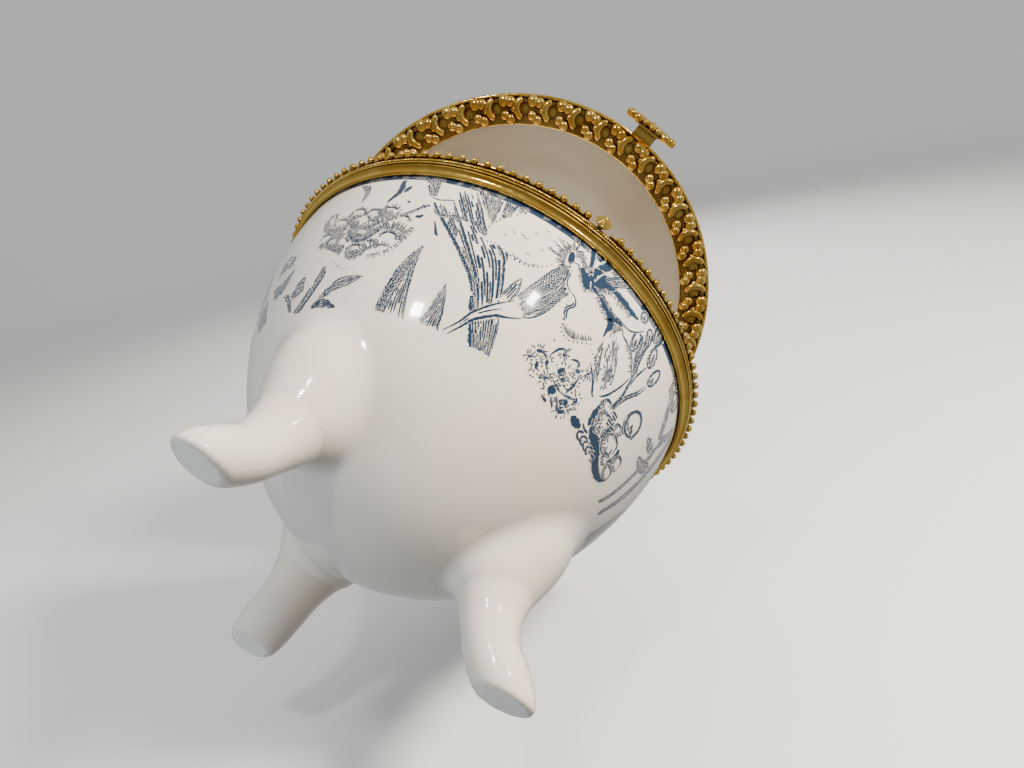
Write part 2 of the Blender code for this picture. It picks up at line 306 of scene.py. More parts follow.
def tube(path, radii, sides=10):
    """Closed tube along a path, capped flat at both ends."""
    path = np.asarray(path, dtype=float)
    tangents = np.gradient(path, axis=0)
    tangents /= np.linalg.norm(tangents, axis=1)[:, None]
    side = np.cross(tangents, (0.02, 0.01, 1.0))
    side /= np.linalg.norm(side, axis=1)[:, None]
    up = np.cross(side, tangents)
    angles = np.arange(sides) * math.tau / sides
    ring = np.cos(angles)[None, :, None] * side[:, None] + np.sin(angles)[None, :, None] * up[:, None]
    points = (path[:, None] + ring * np.asarray(radii)[:, None, None]).reshape(-1, 3)
    faces = grid_faces(len(path), sides, close_columns=True)
    faces.append(tuple(range(sides))[::-1])
    faces.append(tuple((len(path) - 1) * sides + j for j in range(sides)))
    return points, faces


def curve_through(knots, count):
    """Catmull-Rom points through the knots."""
    knots = np.asarray(knots, dtype=float)
    padded = np.concatenate([2 * knots[:1] - knots[1:2], knots, 2 * knots[-1:] - knots[-2:-1]])
    spans = len(knots) - 1
    at = np.linspace(0, spans, count)
    index = np.minimum(at.astype(int), spans - 1)
    t = (at - index)[:, None]
    p0, p1, p2, p3 = (padded[index + k] for k in range(4))
    return 0.5 * (2 * p1 + (p2 - p0) * t + (2 * p0 - 5 * p1 + 4 * p2 - p3) * t ** 2
                  + (3 * p1 - p0 - 3 * p2 + p3) * t ** 3)


# ---- porcelain bowl as a distance field -------------------------------------
# Leg centre line: distance from the axis, height above the feet, radius in the
# leg's plane, radius across it.
LEG_KNOTS = ((13.9, 20.6, 8.0, 8.0), (14.7, 17.4, 7.3, 7.25), (15.0, 14.0, 6.05, 6.05), (15.8, 11.6, 4.6,
                                                                                         4.8),
             (16.9, 7.8, 3.4, 3.65), (18.4, 4.5, 3.0, 3.4), (20.6, 2.0, 2.97, 3.25), (22.1, 0.4, 2.7, 2.6),
             (22.8, -0.6, 2.0, 1.9))
LEG_LINE = curve_through(LEG_KNOTS, 140)
FILLET = 1.2


def smooth_min(a, b, k):
    h = np.clip(0.5 + 0.5 * (b - a) / k, 0, 1)
    return b + (a - b) * h - k * h * (1 - h)


def oval_distance(points, shrink=0.0):
    """Distance to the bowl's oval, measured along rays from its centre."""
    a, b = BOWL_A - shrink, BOWL_B - shrink
    p, q = BOWL_POWERS
    z = points[:, 2] + BOWL_DROP
    r = np.hypot(points[:, 0], points[:, 1])
    depth = np.minimum(z, 0.0)
    f = np.sqrt((r / a) ** (2 / p) + (-depth / b) ** (2 / q))
    f = np.maximum(f, 1e-6)
    return np.hypot(r, depth) * (1 - 1 / f)


def leg_distance(points):
    """Distance to the three legs, far points left at a large value."""
    best = np.full(len(points), 60.0)
    for azimuth in LEG_AZIMUTHS:
        angle = math.radians(azimuth)
        out = points[:, 0] * math.cos(angle) + points[:, 1] * math.sin(angle)
        across = -points[:, 0] * math.sin(angle) + points[:, 1] * math.cos(angle)
        height = points[:, 2] + RIM_Z
        near = np.flatnonzero((out > 2) & (np.abs(across) < 14) & (height < 34))
        for chunk in np.array_split(near, len(near) // 20000 + 1):
            if not len(chunk):
                continue
            ratio = LEG_LINE[:, 2] / LEG_LINE[:, 3]
            ds = out[chunk, None] - LEG_LINE[:, 0]
            dh = height[chunk, None] - LEG_LINE[:, 1]
            dt = across[chunk, None] * ratio
            distance = np.sqrt(ds ** 2 + dh ** 2 + dt ** 2) - LEG_LINE[:, 2]
            best[chunk] = np.minimum(best[chunk], distance.min(axis=1))
    return best


def bowl_skin(points):
    """Outer skin: bowl and legs with a glaze fillet, cut flat at the feet."""
    body = smooth_min(oval_distance(points), leg_distance(points), FILLET)
    ground = -(points[:, 2] + RIM_Z)
    return -smooth_min(-body, -ground, 0.7)


def bowl_field(points):
    """Whole shell: skin, minus the cavity, with a rounded rim."""
    cavity = -oval_distance(points, WALL)
    rim = points[:, 2] + 0.9
    shell = -smooth_min(-bowl_skin(points), -cavity, 0.8)
    return -smooth_min(-shell, -rim, 0.8)


def gradient(field, points, step=0.02):
    slope = np.empty_like(points)
    for axis in range(3):
        offset = np.zeros(3)
        offset[axis] = step
        slope[:, axis] = (field(points + offset) - field(points - offset)) / (2 * step)
    return slope


def settle(field, points, level=0.0, rounds=3):
    """Move points onto a level of the field; returns points and unit normals."""
    for _ in range(rounds):
        slope = gradient(field, points)
        size = np.maximum((slope ** 2).sum(axis=1), 0.05)
        points = points - slope * ((field(points) - level) / size)[:, None]
    slope = gradient(field, points)
    return points, slope / np.linalg.norm(slope, axis=1)[:, None]


def surface_net(field, low, high, cell):
    """Quad mesh of a field's zero level."""
    counts = [int(math.ceil((high[k] - low[k]) / cell)) + 1 for k in range(3)]
    axes = [low[k] + cell * np.arange(counts[k]) for k in range(3)]
    x, y, z = np.meshgrid(*axes, indexing="ij")
    values = field(np.stack([x, y, z], -1).reshape(-1, 3)).reshape(counts)
    inside = values < 0
    cells = tuple(n - 1 for n in counts)
    total = np.zeros((*cells, 3))
    crossings = np.zeros(cells)
    corner = np.stack(np.meshgrid(*[a[:-1] for a in axes], indexing="ij"), -1)
    for axis in range(3):
        others = [k for k in range(3) if k != axis]
        for u in (0, 1):
            for v in (0, 1):
                start = [0, 0, 0]
                start[others[0]], start[others[1]] = u, v
                one = values[tuple(slice(start[k], start[k] + cells[k]) for k in range(3))]
                end = list(start)
                end[axis] = 1
                two = values[tuple(slice(end[k], end[k] + cells[k]) for k in range(3))]
                cut = (one < 0) != (two < 0)
                share = np.where(cut, one / np.where(cut, one - two, 1), 0)
                spot = corner + np.array(start) * cell
                spot[..., axis] += share * cell
                total += np.where(cut[..., None], spot, 0)
                crossings += cut
    used = crossings > 0
    index = np.full(cells, -1)
    index[used] = np.arange(used.sum())
    points = total[used] / crossings[used][:, None]
    faces = []
    for axis in range(3):
        others = [(axis + 1) % 3, (axis + 2) % 3]
        one = inside[tuple(slice(0, -1) if k == axis else slice(1, -1) for k in range(3))]
        two = inside[tuple(slice(1, None) if k == axis else slice(1, -1) for k in range(3))]
        for flip, where in ((False, one & ~two), (True, ~one & two)):
            at = np.argwhere(where)
            for k in others:
                at[:, k] += 1
            quad = []
            for u, v in ((0, 0), (1, 0), (1, 1), (0, 1)):
                spot = at.copy()
                spot[:, others[0]] -= 1 - u
                spot[:, others[1]] -= 1 - v
                quad.append(index[tuple(spot.T)])
            quad = np.stack(quad, 1)
            faces.append(quad[:, ::-1] if flip else quad)
    return points, np.concatenate(faces)


def make_bowl():
    reach = BOWL_A + 1.2
    cell = 0.44
    low, high = (-reach, -reach, -RIM_Z - 1.0), (reach, reach, 0.4)
    points, faces = surface_net(bowl_field, low, high, cell)
    points, normals = settle(bowl_field, points)
    bowl = add_piece("glazed_bowl", points, faces, bowl_material(), "base", "bowl_porcelain",
                     replaced=("porcelain_bowl",), normals=normals)
    bowl.data.materials.append(biscuit_material())
    sole = RIM_Z * -1 + 0.12
    for polygon in bowl.data.polygons:
        if np.all(points[list(polygon.vertices), 2] < sole):
            polygon.material_index = 1


def make_lid():
    def dome(a, b, count):
        angles = np.linspace(math.pi / 2, 0, count)
        return [(max(a * math.cos(t), 0.001), LID_BASE + b * math.sin(t)) for t in angles]
    outer = dome(LID_A, LID_B, 60)
    inner = dome(LID_A - WALL, LID_B - WALL, 50)[::-1]
    shell = lathe(outer + inner, 150)
    nodes = Nodes("lid_glaze")
    add_piece("glazed_lid", *shell, glaze(nodes), "lid", "lid_porcelain",
              replaced=("porcelain_lid",), sharp=50)


# ---- printed decoration -----------------------------------------------------
# The print is drawn on a flat sheet: azimuth in degrees (the front is -90), and
# distance in millimetres from the widest level, measured over the surface.
DEG_MM = 0.4838
FRONT = -90.0


class Pattern:
    """Engraved print as a list of tapering ink strokes, nearest shapes drawn first."""

    def __init__(self, seed):
        self.random = np.random.default_rng(seed)
        self.strokes = []
        self.masks = []

    @staticmethod
    def flat(knots):
        knots = np.array(knots, dtype=float)
        knots[:, 0] = (knots[:, 0] - FRONT) * DEG_MM
        return knots

    def mask(self, outline):
        """Whatever is drawn later is hidden inside this outline."""
        self.masks.append(self.flat(curve_through(list(outline) + [outline[0]], len(outline) * 5)))

    def hidden(self, points):
        covered = np.zeros(len(points), dtype=bool)
        for outline in self.masks:
            x, y = outline[:, 0], outline[:, 1]
            following_x, following_y = np.roll(x, -1), np.roll(y, -1)
            rise = np.where(following_y == y, 1e-9, following_y - y)
            crosses = (y > points[:, 1, None]) != (following_y > points[:, 1, None])
            at = (following_x - x) * (points[:, 1, None] - y) / rise + x
            covered |= (crosses & (points[:, 0, None] < at)).sum(axis=1) % 2 == 1
        return covered

    def lay(self, path, halves, dash=0.0, breaks=0):
        """Store a path in flat millimetres, cut where it is hidden or broken."""
        keep = ~self.hidden(path)
        steps = np.arange(len(path))
        if dash:
            keep &= (steps % 3) != 2
        for _ in range(breaks):
            keep[self.random.integers(0, len(path))] = False
        run = []
        for i in range(len(path) + 1):
            if i < len(path) and keep[i]:
                run.append(i)
                continue
            if len(run) > 1:
                self.strokes.append((path[run], halves[run]))
            run = []

    def curve(self, knots, spacing=0.34):
        length = np.linalg.norm(np.diff(knots[:, :2], axis=0), axis=1).sum()
        return curve_through(knots, max(4, int(length / spacing)))

    def stroke(self, knots, width, start=0.2, end=0.2, dash=0.0, breaks=0):
        path = self.curve(self.flat(knots), 0.16 if dash else 0.34)
        t = np.linspace(0, 1, len(path))
        rise = start + (1 - start) * np.clip(t / 0.3, 0, 1)
        fall = end + (1 - end) * np.clip((1 - t) / 0.3, 0, 1)
        taper = np.minimum(rise, fall)
        self.lay(path[:, :2], width / 2 * taper, dash, breaks)

    def blot(self, knots):
        """Solid ink; each knot gives azimuth, distance and half width."""
        path = self.curve(self.flat(knots), 0.22)
        self.lay(path[:, :2], np.maximum(path[:, 2], 0.02))

    def edges(self, left, right):
        count = 24
        return curve_through(self.flat(left), count), curve_through(self.flat(right), count)

    def hatch(self, left, right, count, width, ragged=0.1, breaks=1, first=0.0, last=1.0, skew=1.0):
        """Lines running between two edges; skew above 1 crowds them to the left edge."""
        a, b = self.edges(left, right)
        for i in range(count):
            u = ((i + 0.5) / count) ** skew
            path = a * (1 - u) + b * u
            low = first + ragged * self.random.random()
            high = last - ragged * self.random.random()
            t = np.linspace(low, high, max(5, int(18 * (high - low)) + 4)) * (len(path) - 1)
            line = np.stack([np.interp(t, np.arange(len(path)), path[:, k]) for k in (0, 1)], 1)
            thick = width / 2 * (0.7 + 0.6 * self.random.random())
            share = np.linspace(0, 1, len(line))
            taper = np.clip(np.minimum(share, 1 - share) * 8 + 0.3, 0, 1)
            self.lay(line, thick * taper, breaks=breaks)

    def comb(self, knots, length, count, width, side=1, lean=0.0):
        """Short fine strokes standing on one side of a path."""
        path = self.curve(self.flat(knots), 0.1)
        slope = np.gradient(path, axis=0)
        slope /= np.maximum(np.linalg.norm(slope, axis=1), 1e-6)[:, None]
        for i in range(count):
            k = int((i + self.random.random()) / count * (len(path) - 1))
            angle = lean + 0.3 * (self.random.random() - 0.5)
            normal = np.array((-slope[k, 1], slope[k, 0])) * side
            way = normal * math.cos(angle) + slope[k] * math.sin(angle)
            reach = length * (0.45 + 0.75 * self.random.random())
            bend = slope[k] * 0.08 * reach
            line = np.array([path[k], path[k] + way * reach * 0.5 + bend, path[k] + way * reach])
            line = curve_through(line, 4)
            self.lay(line, width / 2 * np.array((1.0, 0.8, 0.5, 0.2)))

    def bud(self, azimuth, s, wide, high, lean=0.0, dark=0.5, width=0.2):
        """Outlined oval bud, shaded at its base."""
        ring = []
        for k in range(11):
            t = math.tau * k / 10
            x, y = wide * math.sin(t), high * math.cos(t)
            ring.append((azimuth + (x * math.cos(lean) + y * math.sin(lean)) / DEG_MM,
                         s + y * math.cos(lean) - x * math.sin(lean)))
        self.stroke(ring, width, start=0.8, end=0.8)
        for k in range(7):
            x = wide * (k - 3) / 3.6
            foot = (azimuth + (x + high * math.sin(lean) * 0.8) / DEG_MM, s + high * math.cos(lean) * 0.75)
            reach = 0.7 - 1.5 * dark * (0.6 + 0.4 * math.cos(k * 1.9))
            tip = (azimuth + (x * 1.1) / DEG_MM, s + high * reach)
            bend = ((foot[0] + tip[0]) / 2 + 0.1, (foot[1] + tip[1]) / 2)
            self.stroke([foot, bend, tip], width * 1.2, end=0.1)
        self.mask(ring[:-1])


def draw_iris(p):
    """Iris: wide white petal, hanging petal, dark throat and small petals."""
    sheet = ((-105.6, 5), (-103.6, 4), (-101.5, 3.3), (-98, 2.6), (-94, 2.5), (-91.4, 3.2), (-90.2, 4.8),
        (-90.6, 6.4), (-92, 7.6), (-93.8, 8.7), (-95.8, 9.35), (-98.3, 9.65), (-101.3, 9.5), (-103.9, 9.15),
        (-106.2, 9.1), (-108, 9.5), (-109.2, 9.9), (-108.9, 9.2), (-107.8, 8.7), (-108.4, 8), (-108.2, 7),
        (-107.2, 6))
    p.blot([(-86.3, 5.6, 0.3), (-84.6, 6.2, 0.6), (-83, 6.3, 0.95), (-81.2, 5.5, 1.15), (-79.6, 4.8, 0.85),
        (-77.6, 4, 0.5), (-75.6, 3, 0.35)])
    p.blot([(-83.8, 6.6, 0.5), (-82.4, 7.3, 0.28)])
    p.blot([(-79.4, 5, 0.5), (-77, 4.75, 0.38), (-73, 4.75, 0.38), (-70, 4.8, 0.3), (-67.6, 4.6, 0.1)])
    p.blot([(-81.5, 6.6, 0.2), (-79, 6.65, 0.35), (-77, 7, 0.48), (-75, 7.35, 0.5), (-73.5, 7.7, 0.72),
        (-72.9, 8.5, 0.4), (-73, 9.2, 0.16), (-72.8, 10, 0.08)])
    p.blot([(-73, 7.3, 0.35), (-71.4, 7.1, 0.3), (-70.2, 7.2, 0.08)])
    p.blot([(-83.4, 5.6, 0.5), (-82.4, 4.2, 0.42), (-81, 2.6, 0.5)])
    p.blot([(-83.9, 5.6, 0.3), (-84.8, 4, 0.22), (-86, 2.6, 0.3)])
    p.hatch([(-80.2, 4.6), (-78.6, 3.4), (-77, 2.5)], [(-77.6, 4.6), (-75.6, 3.6), (-73.2, 2.5)], 6, 0.26)
    p.comb([(-86.3, 5.3), (-84.8, 5.4), (-83.6, 5)], 0.6, 14, 0.14, side=-1)
    p.comb([(-85.6, 6.2), (-83.8, 7.2), (-82.2, 7.6)], 0.4, 14, 0.14)
    p.comb([(-80.5, 6.2), (-78, 5.3), (-74, 5.2), (-70, 5.2)], 0.7, 26, 0.12)
    p.comb([(-79.5, 7), (-77, 7.6), (-74.6, 8.2)], 0.45, 14, 0.13)
    p.comb([(-72.3, 7.9), (-71.5, 7.5), (-69.8, 7.4)], 1.4, 10, 0.13, lean=-0.5)
    p.stroke([(-80.5, 6.5), (-77.6, 6.7), (-74.6, 7), (-70.5, 6.85), (-68.4, 6.7), (-66.8, 6.2),
        (-65.4, 5.4), (-64.6, 4.8)], 0.16)
    p.mask([(-81, 6), (-79, 5.2), (-75, 5.1), (-70, 5.1), (-67, 4.7), (-65.2, 4.6), (-65.4, 5.4),
        (-66.8, 6.2), (-70.5, 6.8), (-74.6, 7), (-78, 6.6)])
    for shift in (0, 0.55):
        p.stroke([(-84.8 + shift, 8.9), (-83.6 + shift, 9.4), (-83.2 + shift, 10), (-84.1 + shift, 10.7),
            (-83.6 + shift, 11.4), (-82.5 + shift, 12)], 0.16, breaks=1)
    fall = [(-84.4, 9.4), (-84.4, 10.3), (-84, 11.2), (-82.8, 12.2), (-82.2, 13), (-80.6, 13.35),
        (-79, 13.3), (-77.2, 12.8), (-75.4, 12.2), (-73.8, 11.6), (-73.3, 11)]
    p.stroke(fall, 0.17, dash=1)
    p.comb([(-82.4, 12.6), (-80.6, 13), (-78.6, 12.9), (-76.6, 12.3), (-74.4, 11.4)], 0.75, 30, 0.09, side=-1)
    p.stroke([(-87.6, 6), (-87.4, 7.8), (-86.6, 8.6), (-84.9, 9)], 0.13, breaks=1)
    p.stroke([(-88.6, 5.8), (-87.2, 5.5), (-86.4, 6), (-85.4, 6.6)], 0.12)
    p.mask([(-88.4, 5.9), (-86.6, 5.9), (-84.6, 6.9), (-82.4, 7.6), (-79, 7), (-76.5, 7.8), (-74.2, 8.3),
        (-73.4, 9.6), (-73.4, 11.2), (-75.4, 12.2), (-78, 13.1), (-80.6, 13.35), (-82.4, 12.8),
        (-84.2, 11.2), (-84.4, 9.6), (-86.6, 8.6), (-88, 7.4)])
    p.stroke([(-91.4, 2.6), (-90, 3.9), (-88.5, 4.2), (-88.3, 5.1)], 0.16)
    p.stroke([(-88.4, 4.1), (-86.6, 4.1), (-84.8, 4.2), (-84, 4.7)], 0.13, breaks=1)
    p.stroke([(-89.8, 2.6), (-89.3, 3.4), (-87.6, 3.9), (-86, 4.9)], 0.12, breaks=1)
    p.comb([(-88.2, 4.4), (-86.6, 4.5), (-85.2, 4.8)], 0.7, 12, 0.1)
    blotch = [(-88.6, 4.8), (-89.2, 4.3), (-90.1, 4.6), (-90.4, 5.4), (-90.2, 6.2), (-89.2, 6.6),
        (-88.4, 6.2)]
    p.blot([(-90, 5.5, 0.5), (-89.2, 5.4, 0.72), (-88.5, 5.3, 0.4)])
    p.comb(blotch, 1.1, 34, 0.2, side=1)
    p.comb(blotch[2:5], 1.9, 12, 0.16, side=1)
    p.stroke(sheet[8:17], 0.17, dash=1)
    p.stroke(sheet[16:] + sheet[:2], 0.14, dash=1)
    specks = ((-101.4, 6.5), (-100.6, 6.7), (-98.4, 8.3), (-103.4, 6.7), (-96.2, 6.9), (-94.8, 6),
        (-99.2, 5.4), (-104.8, 7.6), (-97.2, 4.3), (-93.2, 4.2))
    for azimuth, s in specks:
        p.stroke([(azimuth, s), (azimuth + 0.5, s - 0.1), (azimuth + 0.9, s + 0.05)], 0.07)
    p.comb([(-94.6, 8.9), (-97.5, 9.5), (-101, 9.4)], 0.35, 16, 0.07, side=1)
    p.mask(sheet)
    p.hatch([(-72.6, 8.6), (-70, 11.2), (-66.5, 13.2), (-65.2, 14.6)], [(-70.8, 7.6), (-67.2, 9.6),
        (-63.6, 12.4), (-63.6, 14)], 9, 0.11, ragged=0.3, breaks=3)
    p.hatch([(-73.2, 10.8), (-70.8, 12.8), (-68, 14.2)], [(-72.6, 9.4), (-69.6, 12.2), (-66, 14.2)],
        5, 0.12, ragged=0.3, breaks=2)
    p.stroke([(-73.4, 12.2), (-71.5, 12.5), (-69.4, 12.6), (-66.8, 13)], 0.2, dash=1)
    p.stroke([(-71.6, 13.2), (-69.5, 13.8), (-67.5, 14.5), (-65.8, 15.3), (-64.7, 15.4)], 0.22)
    p.stroke([(-70.4, 7.1), (-68.8, 7.8), (-66.4, 8), (-63.5, 8.5), (-61.4, 9.4), (-60, 10.1)], 0.2)
    p.comb([(-66.4, 8), (-63.5, 8.5), (-61, 9.6)], 0.6, 18, 0.12)
    p.stroke([(-60.3, 10.2), (-60.9, 12), (-62.4, 14), (-63.9, 14.8)], 0.2)
    p.mask([(-72.6, 8.4), (-70.4, 7.2), (-66.4, 8), (-61.4, 9.4), (-60.2, 10.2), (-61.2, 12.8),
        (-63.6, 14.6), (-66, 15), (-70.6, 13.4), (-73.2, 11.4)])


def draw_spathe(p):
    """Stem and sheath leaves under the iris."""
    left = [(-105.7, 20.2), (-103.2, 18.7), (-101.6, 17.2), (-100.5, 16.5), (-98, 15.2), (-94.6, 13.7)]
    right = [(-104.2, 20.3), (-102.2, 19), (-100.5, 17.8), (-98.9, 17.1), (-96.4, 16.2), (-93.9, 15.7),
        (-91, 14.9)]
    p.stroke(left, 0.2)
    p.stroke(right, 0.26)
    p.stroke([(-102.8, 18.9), (-101, 17.4), (-98.6, 16.2), (-96, 15.2)], 0.12, breaks=2)
    bract_left = [(-96, 11.1), (-97, 12.2), (-97.6, 13.4), (-97.8, 14.4)]
    bract_right = [(-96, 11.1), (-95.2, 12.3), (-95.2, 13.2), (-95.8, 14.2)]
    p.stroke(bract_left, 0.15)
    p.stroke(bract_right, 0.15)
    p.hatch(bract_left, bract_right, 4, 0.12, ragged=0.2)
    p.mask(left + right[::-1])
    p.mask(bract_left + bract_right[::-1])
    first_left = [(-90.3, 7), (-91.8, 9), (-93.5, 11.4), (-94.7, 13.2)]
    first_right = [(-87.9, 6.8), (-87.8, 8.2), (-89.2, 10.4), (-91.6, 12.2), (-93.9, 13.3)]
    p.hatch(first_left, first_right, 9, 0.2, ragged=0.08)
    p.blot([(-89, 6.9, 0.45), (-88.9, 7.9, 0.62), (-89.4, 9, 0.55), (-90.2, 10.2, 0.35), (-91.4, 11.6, 0.12)])
    p.stroke(first_left, 0.16)
    p.stroke(first_right, 0.2)
    p.mask(first_left + first_right[::-1])
    second_left = [(-88.2, 8.2), (-88.6, 10.2), (-90.2, 11.9), (-92.2, 12.8), (-94.4, 13.9)]
    second_right = [(-84.9, 9.1), (-86.2, 10.3), (-86.8, 11.8), (-87.8, 13.2), (-89.6, 14.3), (-91.6, 14.9)]
    p.hatch(second_left, second_right, 11, 0.18, ragged=0.1, breaks=2)
    p.blot([(-87, 8.9, 0.25), (-87, 9.8, 0.3), (-87.6, 11, 0.5), (-89.2, 12, 0.42), (-91.2, 12.7, 0.25),
        (-93.2, 13.4, 0.1)])
    p.stroke(second_right, 0.16, breaks=1)
    p.mask(second_left + second_right[::-1])


def draw_ribbons(p):
    """Long strap leaves crossing behind the iris."""
    outer = [(-122.9, 6.5), (-120.2, 7.9), (-116.7, 9.4), (-113.3, 10.8), (-109.8, 12.3), (-106.7, 13.6),
        (-104, 15.2), (-101.4, 17)]
    middle = [(-119, 5.6), (-116, 7.4), (-112.6, 9.4), (-109, 11.4), (-106, 13), (-103.4, 14.5),
        (-101.2, 16.2), (-100.2, 17)]
    inner = [(-115.4, 3.4), (-112, 5.6), (-108.6, 8), (-105, 9), (-102, 10), (-99.8, 12), (-98, 14),
        (-97.4, 15.6)]
    top = [(-121, 3.2), (-118, 5.4), (-114.6, 7.6), (-111, 9.8), (-107.4, 12), (-104.4, 13.8),
        (-101.8, 15.6), (-99.8, 17)]
    p.stroke(outer, 0.34, start=0.6, breaks=1)
    p.hatch(outer, middle, 6, 0.2, ragged=0.12, breaks=3)
    p.stroke(middle, 0.28, breaks=1)
    p.hatch(top, inner, 9, 0.19, ragged=0.1, breaks=3)
    p.stroke(inner, 0.24, breaks=1)
    p.blot([(-102.4, 9.6, 0.42), (-101.6, 10.2, 0.26), (-100.8, 11.2, 0.1)])
    p.blot([(-103.6, 15.6, 0.15), (-102.2, 16.6, 0.3), (-100.9, 17.2, 0.2)])
    p.blot([(-122.8, 6.5, 0.12), (-120.6, 7.8, 0.25), (-118.6, 7.9, 0.16), (-116.4, 7.6, 0.1)])
    p.comb([(-121, 6.6), (-118.6, 7.6), (-116, 7.6), (-114, 7.4)], 0.9, 16, 0.15, lean=0.6)
    p.hatch([(-114.6, 3), (-111.4, 4.9), (-108.4, 6.8)], [(-108.9, 3), (-108.5, 5), (-108.2, 6.8)],
        10, 0.24, ragged=0.08)
    p.blot([(-114.3, 3.1, 0.26), (-111.4, 4.9, 0.24), (-108.5, 6.7, 0.1)])
    p.hatch([(-108.2, 3), (-107.6, 4.4), (-107, 5.8)], [(-105.2, 3), (-105.6, 4.2), (-105.6, 5.2)], 5, 0.26)
    p.comb([(-104.4, 3.1), (-103.4, 3.4), (-102.4, 3.2)], 1, 6, 0.15)
    under_left = [(-100.6, 18), (-98.6, 19.2), (-96.9, 20.3)]
    under_right = [(-95.5, 16.1), (-93.8, 18.2), (-92.4, 20.2)]
    p.hatch(under_left, under_right, 10, 0.19, ragged=0.04, breaks=1)
    p.blot([(-100.4, 18, 0.28), (-98.6, 19.3, 0.34), (-97.1, 20.2, 0.3)])
    p.stroke(under_right, 0.2)


def draw_lone_leaves(p):
    """Two pointed leaves, the small mark above them and the left-hand sprig."""
    tall_left = [(-119.5, 12.3), (-120.8, 13.1), (-122, 14.3), (-123.3, 15.8), (-124.1, 17.6),
        (-124.5, 19.6), (-124.4, 20.7)]
    tall_middle = [(-119.5, 12.3), (-120, 13.6), (-120.6, 15.4), (-121.2, 17.2), (-121.4, 19.2),
        (-121.2, 20.7)]
    tall_right = [(-119.5, 12.3), (-119.5, 13.8), (-119, 15.8), (-118.1, 18), (-117.1, 19.6), (-116.3, 20.7)]
    p.hatch(tall_left, tall_middle, 8, 0.24, ragged=0.03, breaks=1)
    p.blot([(-119.6, 12.5, 0.08), (-120.5, 13.7, 0.3), (-121.6, 15.3, 0.42), (-122.6, 17, 0.4),
        (-123.2, 18.8, 0.3), (-123.4, 20.6, 0.2)])
    p.hatch(tall_middle, tall_right, 6, 0.15, ragged=0.1, breaks=2)
    p.stroke(tall_right, 0.2)
    short_left = [(-110.3, 15.6), (-110.5, 17), (-111.1, 19), (-112.1, 20.5)]
    short_right = [(-110.3, 15.6), (-109, 17), (-107.8, 18.6), (-106.7, 20.5)]
    p.hatch(short_left, short_right, 8, 0.17, ragged=0.05, breaks=1)
    p.blot([(-110.2, 15.8, 0.1), (-110, 17, 0.3), (-110.6, 18.6, 0.24), (-111.6, 20.3, 0.22)])
    p.stroke(short_right, 0.18)
    p.blot([(-120.2, 9, 0.05), (-119.2, 9.8, 0.09), (-118.4, 10.5, 0.14), (-117.7, 10.7, 0.05)])
    p.hatch([(-128.4, 2.8), (-126.4, 4.4), (-124.5, 5.8)], [(-124.6, 2.8), (-123.8, 4.2), (-123.2, 5.6)],
        6, 0.2)
    p.stroke([(-124.5, 5.7), (-122, 6), (-119.2, 5.6), (-118.6, 5.8)], 0.12)
    p.blot([(-125.2, 7.2, 0.1), (-124.4, 7.3, 0.14), (-123.8, 7.1, 0.05)])
    p.blot([(-125.2, 8.8, 0.12), (-124.2, 8.9, 0.18), (-123.6, 8.5, 0.08)])


def draw_buds(p):
    """Upright spray of buds and dark leaves right of the iris."""
    p.bud(-66.6, 3.6, 0.6, 0.7, dark=0.8)
    p.bud(-65.1, 6.8, 0.62, 1.3, lean=0.1, dark=0.7, width=0.26)
    p.bud(-58.1, 5.8, 0.68, 1.3, lean=0.15, dark=0.9, width=0.28)
    p.bud(-53.9, 6.9, 0.62, 1.4, lean=-0.2, dark=0.5, width=0.28)
    p.bud(-62.6, 4.6, 0.5, 0.9, lean=0.3, dark=0.8)
    p.bud(-60.4, 3.4, 0.5, 1, dark=0.7)
    p.blot([(-64.2, 5.4, 0.1), (-63.2, 6.6, 0.42), (-61.9, 7.9, 0.45), (-60.4, 9, 0.35), (-59.5, 9.9, 0.1)])
    p.blot([(-63.6, 4.6, 0.1), (-62.2, 5.8, 0.3), (-61.4, 7.2, 0.2)])
    p.blot([(-58.6, 2.6, 0.35), (-58.9, 3.6, 0.3), (-59.3, 4.8, 0.12)])
    p.blot([(-61.6, 2.5, 0.22), (-61.4, 5, 0.2), (-61.2, 7, 0.14), (-60.1, 9, 0.12), (-59.3, 11, 0.12),
        (-58.6, 12.4, 0.18), (-58.5, 14.2, 0.28)])
    p.stroke([(-57.9, 7.2), (-58.7, 8.6), (-59.1, 10.2), (-58.3, 12.4)], 0.24)
    for shift in (0, 0.7):
        p.stroke([(-54.8 + shift, 8.6), (-55.8 + shift, 10.2), (-57.5 + shift, 11.7), (-58.3 + shift, 12.8),
            (-58.4 + shift, 14.2)], 0.19)
    p.comb([(-63.8, 6), (-62.4, 8.2), (-60, 10)], 0.6, 16, 0.14, side=-1)
    p.bud(-49.6, 12.4, 1.5, 1.5, lean=0.2, dark=0.5, width=0.34)
    p.blot([(-53, 12.2, 0.2), (-52.2, 13.3, 0.34), (-50.6, 13.9, 0.38), (-48.6, 13.5, 0.3),
        (-47.2, 12.4, 0.28), (-47.6, 11.4, 0.12)])
    for shift in (0, 0.8):
        p.stroke([(-50.6 + shift, 14), (-51.6 + shift, 15), (-52.4 + shift, 15.8)], 0.18)


